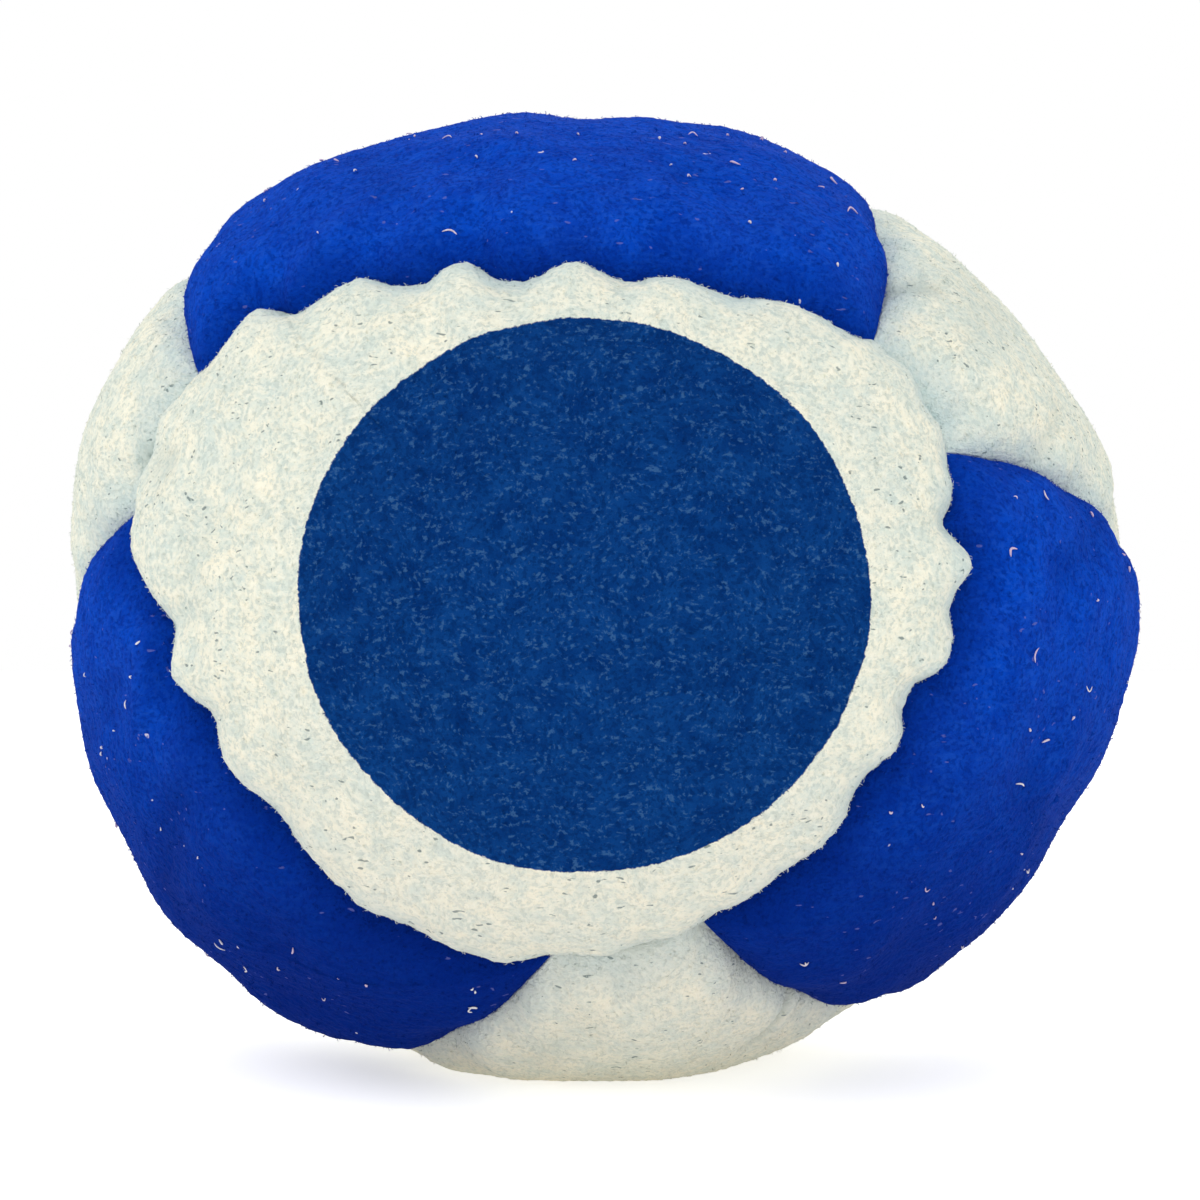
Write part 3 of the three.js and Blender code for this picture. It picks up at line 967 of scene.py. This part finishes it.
class NodeSheet:
    """Adds nodes to one tree and joins them."""

    def __init__(self, tree: bpy.types.NodeTree) -> None:
        """Starts on a tree.

        Args:
            tree: the tree of a material, a group or the world.
        """
        self.tree = tree

    def put(self, socket: bpy.types.NodeSocket, value: object) -> None:
        """Joins a socket to another one, or sets its value.

        Args:
            socket: the input.
            value: an output socket, or a number, colour or vector.
        """
        if isinstance(value, bpy.types.NodeSocket):
            self.tree.links.new(value, socket)
        else:
            socket.default_value = value

    def add(
        self, kind: str, inputs: dict[str | int, object] | None = None, **settings: object
    ) -> bpy.types.Node:
        """Adds a node.

        Args:
            kind: the node's type without the leading ShaderNode.
            inputs: values or sockets for its inputs, by name or number.
            settings: its properties.

        Returns:
            The node.
        """
        node = self.tree.nodes.new(kind if kind.startswith("Node") else f"ShaderNode{kind}")
        for key, value in settings.items():
            setattr(node, key, value)
        for key, value in (inputs or {}).items():
            self.put(node.inputs[key], value)
        return node

    def math(self, operation: str, a: object, b: object, clamp: bool = False) -> bpy.types.NodeSocket:
        """The result of one sum, comparison or the like."""
        return self.add("Math", {0: a, 1: b}, operation=operation, use_clamp=clamp).outputs[0]

    def times(self, a: object, b: object) -> bpy.types.NodeSocket:
        """The product of two values."""
        return self.math("MULTIPLY", a, b)

    def line(self, value: object, change: object, start: object) -> bpy.types.NodeSocket:
        """A straight line: start + change times the value."""
        return self.math("ADD", self.times(value, change), start)

    def fit(self, value: object, low: object, high: object) -> bpy.types.NodeSocket:
        """A value spread so that low becomes 0 and high becomes 1, with a smooth ease."""
        limits = {"Value": value, "From Min": low, "From Max": high}
        return self.add("MapRange", limits, interpolation_type="SMOOTHSTEP").outputs["Result"]

    def below(self, value: object, limit: object) -> bpy.types.NodeSocket:
        """How far a value is below a limit: 1 at 0, with a smooth ease to 0 at the limit."""
        return self.math("SUBTRACT", 1.0, self.fit(value, 0.0, limit))

    def blend(self, factor: object, a: object, b: object) -> bpy.types.NodeSocket:
        """One colour mixed into another: a where the factor is 0, and b where it is 1."""
        node = self.add("Mix", {"Factor": factor}, data_type="RGBA")
        self.put(node.inputs[6], a)
        self.put(node.inputs[7], b)
        return node.outputs[2]

    def laid(self, tone: object, over: object, mask: object, strength: object) -> bpy.types.NodeSocket:
        """A colour laid over a tone where a mask is above 0, at a strength."""
        return self.blend(self.times(mask, strength), tone, over)

    def noise(self, place: object, noise: Noise, output: str = "Fac") -> bpy.types.NodeSocket:
        """A noise over a place, as its value or its colour."""
        inputs = {"Vector": place, "Scale": noise.scale, "Detail": noise.detail, "Roughness": noise.roughness}
        return self.add("TexNoise", inputs).outputs[output]

    def moved(self, place: object, by: object, operation: str = "ADD") -> bpy.types.NodeSocket:
        """A place changed by a vector: moved, or with SUBTRACT moved back, or with MULTIPLY scaled."""
        return self.add("VectorMath", {0: place, 1: by}, operation=operation).outputs[0]

    def attribute(self, name: str) -> bpy.types.NodeSocket:
        """A value that the mesh holds at its points."""
        return self.add("Attribute", attribute_name=name).outputs["Fac"]

    def bump(self, height: object, strength: float, depth: float) -> bpy.types.NodeSocket:
        """The normal of a surface with small heights, with the depth in metres."""
        return self.add("Bump", {"Height": height, "Strength": strength, "Distance": depth}).outputs["Normal"]

    def place(self) -> bpy.types.NodeSocket:
        """The place on the object in millimetres."""
        return self.moved(self.add("TexCoord").outputs["Object"], (1 / METRES,) * 3, "MULTIPLY")


def start_material(name: str) -> tuple[bpy.types.Material, NodeSheet, bpy.types.NodeInputs]:
    """Starts a material.

    Args:
        name: the material's name.

    Returns:
        The material, its sheet, and the inputs of its Principled shader.
    """
    material = bpy.data.materials.new(name)
    material.use_nodes = True
    return material, NodeSheet(material.node_tree), material.node_tree.nodes["Principled BSDF"].inputs


def start_group(
    name: str, inputs: dict[str, str], outputs: dict[str, str]
) -> tuple[bpy.types.NodeTree, NodeSheet, bpy.types.NodeOutputs, bpy.types.NodeInputs]:
    """Starts a shader node group.

    Args:
        name: the group's name.
        inputs: each input's type.
        outputs: each output's type.

    Returns:
        The group, its sheet, what it is given and what it makes.
    """
    group = bpy.data.node_groups.new(name, "ShaderNodeTree")
    for way, sockets in (("INPUT", inputs), ("OUTPUT", outputs)):
        for key, kind in sockets.items():
            group.interface.new_socket(key, in_out=way, socket_type=f"NodeSocket{kind}")
    sheet = NodeSheet(group)
    return group, sheet, sheet.add("NodeGroupInput").outputs, sheet.add("NodeGroupOutput").inputs


@dataclass(frozen=True)
class NapPattern:
    """The nap of suede: soft mottling, short level strokes, crisp grain and a haze, on a bent place."""

    bend: Noise = Noise(0.35, 1.0)
    mottle: Noise = Noise(0.85, 4.0, 0.66)
    mottle_limits: Span = (0.32, 0.68)
    strokes: Noise = Noise(1.1, 3.0, 0.62)
    stroke_squeeze: Triple = (1.5, 2.0, 3.3)
    stroke_limits: Span = (0.34, 0.66)
    grain: Noise = Noise(4.2, 2.5, 0.62)
    grain_limits: Span = (0.34, 0.64)
    haze: Noise = Noise(0.22, 3.0, 0.6)
    haze_limits: Span = (0.4, 0.66)
    stroke_height: float = 0.4
    mottle_height: float = 0.2
    grain_height: float = 0.8

    def group(self) -> bpy.types.NodeTree:
        """The node group, which takes a place in millimetres."""
        group, sheet, given, made = start_group(
            "suede_nap",
            {"Place": "Vector"},
            {"Mottle": "Float", "Strokes": "Float", "Grain": "Float", "Haze": "Float", "Height": "Float"},
        )
        bent = sheet.moved(given["Place"], sheet.noise(given["Place"], self.bend, "Color"))
        mottle = sheet.noise(bent, self.mottle)
        strokes = sheet.noise(sheet.moved(bent, self.stroke_squeeze, "MULTIPLY"), self.strokes)
        grain = sheet.noise(bent, self.grain)
        haze = sheet.noise(bent, self.haze)
        soft = sheet.line(strokes, self.stroke_height, sheet.times(mottle, self.mottle_height))
        sheet.put(made["Mottle"], sheet.fit(mottle, *self.mottle_limits))
        sheet.put(made["Strokes"], sheet.fit(strokes, *self.stroke_limits))
        sheet.put(made["Grain"], sheet.fit(grain, *self.grain_limits))
        sheet.put(made["Haze"], sheet.fit(haze, *self.haze_limits))
        sheet.put(made["Height"], sheet.line(grain, self.grain_height, soft))
        return group


@dataclass(frozen=True)
class FleckPattern:
    """Scattered flecks of lint: a mask that is 1 within a size of some points of a wavering cell pattern."""

    drift: Noise = Noise(2.6, 1.0)
    full_share: float = 0.6

    def group(self) -> bpy.types.NodeTree:
        """The node group, which takes a place in millimetres."""
        group, sheet, given, made = start_group(
            "lint_flecks",
            {"Place": "Vector", "Cells per mm": "Float", "Size": "Float", "Share": "Float", "Waver": "Float"},
            {"Mask": "Float"},
        )
        drift = sheet.noise(given["Place"], self.drift, "Color")
        centred = sheet.moved(drift, (NOISE_MEAN,) * 3, "SUBTRACT")
        offset = sheet.add("VectorMath", {0: centred, 3: given["Waver"]}, operation="SCALE").outputs[0]
        place = sheet.moved(given["Place"], offset)
        cells = sheet.add("TexVoronoi", {"Vector": place, "Scale": given["Cells per mm"], "Randomness": 1.0})
        tone = sheet.add("SeparateColor", {"Color": cells.outputs["Color"]}).outputs[0]
        size = sheet.times(given["Size"], given["Cells per mm"])
        near = sheet.fit(cells.outputs["Distance"], size, sheet.times(size, self.full_share))
        chosen = sheet.math("LESS_THAN", tone, given["Share"])
        sheet.put(made["Mask"], sheet.times(near, chosen))
        return group


@dataclass(frozen=True)
class Flecks:
    """One kind of fleck: the pattern's cells to a millimetre, and their size and waver in millimetres."""

    per_mm: float
    size: float
    waver: float

    def mask(self, sheet: NodeSheet, group: bpy.types.NodeTree, place: object, share: object) -> object:
        """Where the flecks are, on this share of the pattern's cells."""
        inputs = {"Cells per mm": self.per_mm, "Size": self.size, "Waver": self.waver}
        inputs |= {"Place": place, "Share": share}
        return sheet.add("Group", inputs, node_tree=group).outputs["Mask"]


@dataclass(frozen=True)
class NavyPrint:
    """The round navy print: full up to its ragged edge, and thinner on the tips of the nap.

    Its middle is a polar angle and an azimuth, and its edge and its full depth are degrees from there.
    """

    middle: Span = (3.0, 180.0)
    edge: float = 30.3
    full: float = 30.12
    ragged: Noise = Noise(3.0, 3.0, 0.7)
    raggedness: float = 0.75
    dark: Tone = colour(0, 47, 112)
    light: Tone = colour(7, 62, 130)
    haze: Tone = colour(12, 70, 140)
    haze_strength: float = 0.25
    hollow: Tone = colour(0, 36, 92)
    hollow_limit: float = 0.5
    hollow_strength: float = 0.5
    worn: Tone = colour(74, 120, 166)
    worn_grain: Span = (0.64, 1.0)
    worn_strokes: Span = (0.35, 0.95)
    worn_strength: float = 0.42

    def over(self, sheet: NodeSheet, place: object, nap: bpy.types.NodeOutputs, tone: object) -> object:
        """Lays the print over the suede.

        Args:
            sheet: the material's sheet.
            place: the place in millimetres.
            nap: the nap's outputs.
            tone: the colour under the print.

        Returns:
            The colour with the print.
        """
        uneven = sheet.math("SUBTRACT", sheet.noise(place, self.ragged), NOISE_MEAN)
        angle = sheet.line(uneven, self.raggedness, sheet.attribute("print_angle"))
        ink = sheet.blend(nap["Mottle"], self.dark, self.light)
        ink = sheet.laid(ink, self.haze, nap["Haze"], self.haze_strength)
        ink = sheet.laid(ink, self.hollow, sheet.below(nap["Grain"], self.hollow_limit), self.hollow_strength)
        tips = sheet.fit(nap["Grain"], *self.worn_grain)
        rubbed = sheet.fit(nap["Strokes"], *self.worn_strokes)
        ink = sheet.laid(ink, self.worn, sheet.times(tips, rubbed), self.worn_strength)
        return sheet.blend(sheet.fit(angle, self.edge, self.full), tone, ink)


@dataclass(frozen=True)
class SuedeFinish:
    """One colour of suede: its tones, its specks and flecks, and how it takes the light."""

    name: str
    light: Tone
    dark: Tone
    hollow: Tone
    tip: Tone
    haze: Tone
    near_seam: Tone
    speck: Tone
    fleck: Tone
    # Painted shade: the tone that the suede turns to towards the bottom.
    low: Tone
    painted_low_shade_strength: float
    speck_share: float
    fleck_share: float
    haze_strength: float = 0.3
    hollow_strength: float = 0.5
    tip_strength: float = 0.5
    speck_strength: float = 0.7
    fleck_strength: float = 0.85
    sheen: float = 0.0
    sheen_roughness: float = 0.6
    roughness: float = 0.86
    stroke_roughness: float = 0.1
    specular: float = 0.04
    nap_depth: float = 0.00022
    hollow_limit: float = 0.55
    tip_limits: Span = (1.1, 1.9)
    seam_shade: Noise = Noise(0.3)
    seam_shade_reach: float = 5.0
    seam_shade_strength: float = 0.65
    crease_limits: Span = (0.05, 0.6)
    painted_low_shade_heights: Span = (25.0, 4.0)
    clusters: Noise = Noise(0.45)
    cluster_limits: Span = (0.42, 0.62)
    specks: Flecks = Flecks(2.7, 0.09, 0.55)
    speck_squeeze: Triple = (0.5, 1.0, 1.15)
    flecks: Flecks = Flecks(0.75, 0.13, 0.7)
    fleck_offset: Triple = (31.0, 17.0, 9.0)
    overprint: NavyPrint | None = None

    def material(self, groups: dict[str, bpy.types.NodeTree]) -> bpy.types.Material:
        """Builds the material.

        Args:
            groups: the shared node groups by name.

        Returns:
            The material, with the round navy print where the finish has it.
        """
        material, sheet, shader = start_material(self.name)
        place = sheet.place()
        nap = sheet.add("Group", {"Place": place}, node_tree=groups["nap"]).outputs
        tone = self.linted(sheet, place, groups["flecks"], self.ground(sheet, place, nap))
        if self.overprint:
            tone = self.overprint.over(sheet, place, nap, tone)
        sheet.put(shader["Base Color"], tone)
        sheet.put(shader["Roughness"], sheet.line(nap["Strokes"], self.stroke_roughness, self.roughness))
        sheet.put(shader["Specular IOR Level"], self.specular)
        sheet.put(shader["Sheen Weight"], self.sheen)
        sheet.put(shader["Sheen Roughness"], self.sheen_roughness)
        sheet.put(shader["Sheen Tint"], self.light)
        sheet.put(shader["Normal"], sheet.bump(nap["Height"], 1.0, self.nap_depth))
        return material

    def ground(self, sheet: NodeSheet, place: object, nap: bpy.types.NodeOutputs) -> bpy.types.NodeSocket:
        """The dyed suede: patches, haze, hollows, tips, and painted shade at seams, in creases and low down.
        """
        tone = sheet.blend(nap["Mottle"], self.dark, self.light)
        tone = sheet.laid(tone, self.haze, nap["Haze"], self.haze_strength)
        hollows = sheet.below(nap["Grain"], self.hollow_limit)
        tone = sheet.laid(tone, self.hollow, hollows, self.hollow_strength)
        tip = sheet.fit(sheet.math("ADD", nap["Grain"], nap["Strokes"]), *self.tip_limits)
        tone = sheet.laid(tone, self.tip, tip, self.tip_strength)
        reach = sheet.times(sheet.noise(place, self.seam_shade), self.seam_shade_reach)
        close = sheet.below(sheet.attribute("seam_distance"), reach)
        tone = sheet.laid(tone, self.near_seam, close, self.seam_shade_strength)
        # Painted shade in the creases: the hollow tone where they are deep.
        tone = sheet.blend(sheet.fit(sheet.attribute("crease_depth"), *self.crease_limits), tone, self.hollow)
        # Painted shade low down: the low tone comes in below the first height and is full at the second, in
        # millimetres.
        height = sheet.add("SeparateXYZ", {"Vector": place}).outputs["Z"]
        return sheet.laid(tone, self.low, sheet.fit(height, *self.painted_low_shade_heights), self.painted_low_shade_strength)

    def linted(self, sheet: NodeSheet, place: object, group: bpy.types.NodeTree, tone: object) -> object:
        """Small dark specks in clusters, and a few larger flecks, over the suede."""
        clusters = sheet.fit(sheet.noise(place, self.clusters), *self.cluster_limits)
        squeezed = sheet.moved(place, self.speck_squeeze, "MULTIPLY")
        specks = self.specks.mask(sheet, group, squeezed, sheet.times(clusters, self.speck_share))
        tone = sheet.laid(tone, self.speck, specks, self.speck_strength)
        flecks = self.flecks.mask(sheet, group, sheet.moved(place, self.fleck_offset), self.fleck_share)
        return sheet.laid(tone, self.fleck, flecks, self.fleck_strength)


@dataclass(frozen=True)
class LintFinish:
    """Pale stray fibres."""

    name: str = "pale_lint"
    white: Tone = colour(242, 240, 238)
    lilac: Tone = colour(214, 186, 214)
    grey: Tone = colour(172, 170, 200)
    patches: Noise = Noise(0.12)
    patch_limits: Span = (0.4, 0.6)
    fine: Noise = Noise(6.0)
    grey_strength: float = 0.4
    roughness: float = 0.6
    fine_roughness: float = 0.3

    def material(self) -> bpy.types.Material:
        """Off-white fibre that turns pink and lilac in places, and is rougher where it is darker."""
        material, sheet, shader = start_material(self.name)
        place = sheet.place()
        patch = sheet.fit(sheet.noise(place, self.patches), *self.patch_limits)
        fine = sheet.noise(place, self.fine)
        tone = sheet.laid(sheet.blend(patch, self.white, self.lilac), self.grey, fine, self.grey_strength)
        sheet.put(shader["Base Color"], tone)
        sheet.put(shader["Roughness"], sheet.line(fine, self.fine_roughness, self.roughness))
        return material


@dataclass(frozen=True)
class ThreadFinish:
    """Twisted sewing thread."""

    name: str = "sewing_thread"
    dark: Tone = colour(205, 202, 190)
    light: Tone = colour(244, 242, 234)
    plies_per_mm: float = 1.6
    ply_wobble: float = 1.5
    roughness: float = 0.55
    ply_roughness: float = 0.15
    ply_depth: float = 0.00004
    bump_strength: float = 0.6

    def material(self) -> bpy.types.Material:
        """Pale thread with fine slanting plies."""
        material, sheet, shader = start_material(self.name)
        wave = {"Vector": sheet.place(), "Scale": self.plies_per_mm, "Distortion": self.ply_wobble}
        plies = sheet.add("TexWave", wave).outputs["Fac"]
        sheet.put(shader["Base Color"], sheet.blend(plies, self.dark, self.light))
        sheet.put(shader["Roughness"], sheet.line(plies, self.ply_roughness, self.roughness))
        sheet.put(shader["Normal"], sheet.bump(plies, self.bump_strength, self.ply_depth))
        return material


@dataclass(frozen=True)
class PelletFinish:
    """Small plastic pellets, each of its own tone."""

    name: str = "plastic_pellets"
    dark: Tone = colour(196, 190, 172)
    light: Tone = colour(229, 224, 208)
    # Painted shade in the gaps between the pellets.
    gap_shade: Tone = colour(150, 143, 126)
    pellets_per_mm: float = 0.45
    rim_limits: Span = (0.75, 0.35)
    roughness: float = 0.3
    tone_roughness: float = 0.2
    pellet_depth: float = 0.0003
    bump_strength: float = 0.7

    def material(self) -> bpy.types.Material:
        """Cream plastic in cells, with painted shade at their edges, and a smooth low gloss."""
        material, sheet, shader = start_material(self.name)
        cells = sheet.add("TexVoronoi", {"Vector": sheet.place(), "Scale": self.pellets_per_mm})
        tones = sheet.add("SeparateColor", {"Color": cells.outputs["Color"]}).outputs[0]
        rim = sheet.fit(cells.outputs["Distance"], *self.rim_limits)
        pellet = sheet.blend(tones, self.dark, self.light)
        sheet.put(shader["Base Color"], sheet.blend(rim, self.gap_shade, pellet))
        sheet.put(shader["Roughness"], sheet.line(tones, self.tone_roughness, self.roughness))
        sheet.put(shader["Normal"], sheet.bump(rim, self.bump_strength, self.pellet_depth))
        return material


WHITE_SUEDE = SuedeFinish(
    name="white_suede",
    light=colour(253, 249, 228),
    dark=colour(222, 232, 222),
    hollow=colour(192, 205, 199),
    tip=colour(255, 253, 236),
    haze=colour(210, 225, 222),
    near_seam=colour(198, 219, 222),
    speck=colour(84, 108, 112),
    fleck=colour(112, 132, 134),
    # Painted shade towards the bottom: a warmer, darker cream.
    low=colour(224, 217, 206),
    painted_low_shade_strength=0.3,
    speck_share=0.5,
    fleck_share=0.05,
)
PRINTED_SUEDE = replace(WHITE_SUEDE, name="printed_white_suede", fleck_share=0.03, overprint=NavyPrint())
BLUE_SUEDE = SuedeFinish(
    name="blue_suede",
    light=colour(5, 74, 198),
    dark=colour(0, 60, 178),
    hollow=colour(0, 34, 120),
    tip=colour(40, 98, 208),
    haze=colour(24, 66, 176),
    near_seam=colour(0, 44, 146),
    speck=colour(112, 116, 186),
    fleck=colour(222, 218, 236),
    # Painted shade towards the bottom: a deeper blue.
    low=colour(0, 29, 114),
    painted_low_shade_strength=0.86,
    speck_share=0.2,
    fleck_share=0.08,
    haze_strength=0.25,
    hollow_strength=0.42,
    tip_strength=0.25,
    speck_strength=0.5,
    sheen=0.05,
)


@dataclass(frozen=True)
class Lamp:
    """A square soft lamp: its place and the length of its sides in metres, and its power in watts."""

    name: str
    place: Triple
    size: float
    power: float

    def hang(self, aim: Triple) -> None:
        """Puts the lamp up, facing a place in metres."""
        data = bpy.data.lights.new(self.name, "AREA")
        data.shape, data.size, data.energy = "SQUARE", self.size, self.power
        lamp = bpy.data.objects.new(self.name, data)
        lamp.location = self.place
        x, y, z = np.array(aim) - self.place
        lamp.rotation_euler = (math.atan2(math.hypot(x, y), -z), 0.0, math.atan2(-x, y))
        bpy.context.scene.collection.objects.link(lamp)


@dataclass(frozen=True)
class Studio:
    """The camera at the photograph's angle, the soft lamps, the pale floor and the white surround.

    Its lengths are metres, apart from the lens and the sensor, which are millimetres as on a camera.
    """

    distance: float = 0.130
    lens: float = 73.2
    sensor: float = 36.0
    shift: Span = (-0.0021, -0.0086)
    sight: Span = (0.005, 10.0)
    ambient: float = 0.6
    floor_half: float = 0.6
    floor_tone: Tone = (0.9, 0.9, 0.9, 1.0)
    floor_roughness: float = 0.9
    floor_glow: float = 0.54
    bounce: float = 0.27
    bounce_tint: Tone = (1.0, 0.93, 0.82, 1.0)
    aim: Triple = (0.0, 0.0, 0.024)
    lamps: tuple[Lamp, ...] = (
        Lamp("key_lamp", (-0.10, -0.30, 0.42), 0.30, 0.65),
        Lamp("fill_lamp", (0.30, -0.40, 0.14), 0.34, 0.2),
        Lamp("low_lamp", (-0.16, -0.46, 0.08), 0.14, 0.06),
        Lamp("left_lamp", (-0.34, 0.12, 0.28), 0.24, 0.34),
        Lamp("right_lamp", (0.34, 0.12, 0.28), 0.24, 0.2),
        Lamp("back_lamp", (0.06, 0.38, 0.32), 0.30, 0.5),
    )

    def camera(self, low: np.ndarray, high: np.ndarray) -> None:
        """Puts the camera level with the middle of the bag's box, in front of it."""
        data = bpy.data.cameras.new("camera")
        data.lens, data.sensor_width = self.lens, self.sensor
        data.shift_x, data.shift_y = self.shift
        data.clip_start, data.clip_end = self.sight
        camera = bpy.data.objects.new("camera", data)
        middle = (low + high) / 2
        camera.location = (0.0, middle[1] - self.distance, middle[2])
        camera.rotation_euler = (math.pi / 2, 0.0, 0.0)
        bpy.context.scene.collection.objects.link(camera)
        bpy.context.scene.camera = camera

    @staticmethod
    def seen(sheet: NodeSheet, *rays: str) -> bpy.types.NodeSocket:
        """1 for what the camera sees straight or by one of these kinds of ray, and 0 for other light."""
        path = sheet.add("LightPath").outputs
        seen = path["Is Camera Ray"]
        for ray in rays:
            seen = sheet.math("ADD", seen, path[f"Is {ray} Ray"], clamp=True)
        return seen

    def world(self) -> None:
        """Even pale light, which the camera and mirrors see as white."""
        world = bpy.data.worlds.new("surround")
        world.use_nodes = True
        world.node_tree.nodes.clear()
        sheet = NodeSheet(world.node_tree)
        seen = self.seen(sheet, "Glossy", "Transmission")
        strength = sheet.add("MapRange", {"Value": seen, "To Min": self.ambient, "To Max": 1.0}).outputs[0]
        light = sheet.add("Background", {"Color": WHITE, "Strength": strength})
        sheet.put(sheet.add("OutputWorld").inputs["Surface"], light.outputs[0])
        bpy.context.scene.world = world

    def floor(self) -> None:
        """A pale floor, which the camera sees as white where no shadow falls."""
        half = self.floor_half
        mesh = bpy.data.meshes.new("floor")
        corners = [(-half, -half, 0), (half, -half, 0), (half, half, 0), (-half, half, 0)]
        mesh.from_pydata(corners, [], [(0, 1, 2, 3)])
        floor = bpy.data.objects.new("floor", mesh)
        material, sheet, shader = start_material("pale_floor")
        seen = self.seen(sheet, "Glossy")
        limits = {"Value": seen, "To Min": self.bounce, "To Max": self.floor_glow}
        glow = sheet.add("MapRange", limits).outputs[0]
        sheet.put(shader["Base Color"], self.floor_tone)
        sheet.put(shader["Roughness"], self.floor_roughness)
        sheet.put(shader["Specular IOR Level"], 0.0)
        sheet.put(shader["Emission Color"], sheet.blend(seen, self.bounce_tint, WHITE))
        sheet.put(shader["Emission Strength"], glow)
        mesh.materials.append(material)
        bpy.context.scene.collection.objects.link(floor)
        floor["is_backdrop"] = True

    def build(self, low: np.ndarray, high: np.ndarray) -> None:
        """Sets the whole studio up round the bag's box."""
        self.camera(low, high)
        self.world()
        self.floor()
        for lamp in self.lamps:
            lamp.hang(self.aim)
        bpy.context.scene.view_settings.view_transform = "Standard"


class Footbag:
    """The whole bag: its panels, which stand for the CAD ones, and the finish of what is inside."""

    first_lint_seed = 40

    def __init__(self, frame: dict) -> None:
        """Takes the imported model.
        """
        self.nodes = frame["nodes"]
        self.shape = BagShape()
        self.ground = -self.shape.ground_depth()

    def panels(self, low: np.ndarray, high: np.ndarray) -> None:
        """Builds the eight panels and dresses them.

        Args:
            low: the lowest corner of the CAD model, in metres.
            high: its highest corner.
        """
        groups = {"nap": NapPattern().group(), "flecks": FleckPattern().group()}
        suedes = (WHITE_SUEDE, PRINTED_SUEDE, BLUE_SUEDE)
        finishes = {finish.name: finish.material(groups) for finish in suedes}
        seams = find_seams(self.shape)
        meshes = {name: SewnPanel(name, seams, self.shape).build() for name in PANELS}
        points = np.concatenate([mesh.points for mesh in meshes.values()])
        middle = (low + high) / 2 / METRES - (points.min(0) + points.max(0)) / 2
        middle[2] = -self.ground
        faces = {name: Face(mesh) for name, mesh in meshes.items()}
        for name, mesh in meshes.items():
            slot = "printed_white_suede" if name == "front" else f"{PANELS[name].value}_suede"
            piece = mesh.make(f"{name}_suede", middle, finishes[slot])
            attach(piece, "root")
            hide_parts(f"{name}_panel")
            LOG.info("%s: %d triangles", piece.name, len(mesh.triangles))
            fibres = Nap().over(faces[name], self.ground, len(name) + ord(name[0]))
            nap = fibres.make(f"{name}_nap", middle, finishes[slot])
            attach(nap, "root")
        self.lint([faces[name] for name, suede in PANELS.items() if suede is Suede.BLUE], middle)

    def lint(self, faces: list[Face], middle: np.ndarray) -> None:
        """Lays the pale fibres on the blue panels.

        Args:
            faces: the triangles of those panels.
            middle: the place of the bag's middle in the frame, in millimetres.
        """
        meshes = [Lint().over(face, self.ground, self.first_lint_seed + i) for i, face in enumerate(faces)]
        mesh = join_meshes(meshes)
        piece = mesh.make("stray_lint", middle, LintFinish().material())
        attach(piece, "root")
        LOG.info("%s: %d triangles", piece.name, len(mesh.triangles))

    def insides(self) -> None:
        """Gives the threads and the pellets their finish."""
        thread, pellets = ThreadFinish().material(), PelletFinish().material()
        for name, node in self.nodes.items():
            if name.startswith("seam_thread") or name == "pellet_fill":
                node.data.materials.clear()
                node.data.materials.append(pellets if name == "pellet_fill" else thread)
        LOG.info("threads and pellets dressed")


def main() -> None:
    """Builds the bag and its studio round the box of the CAD model."""
    logging.basicConfig(level=logging.INFO, format="%(name)s: %(message)s")
    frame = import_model()
    cad_box = [list(corner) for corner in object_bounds()]
    low, high = np.array(cad_box)
    bag = Footbag(frame)
    bag.panels(low, high)
    bag.insides()
    Studio().build(low, high)
    LOG.info("the footbag is built")


if __name__ == "__main__":
    main()
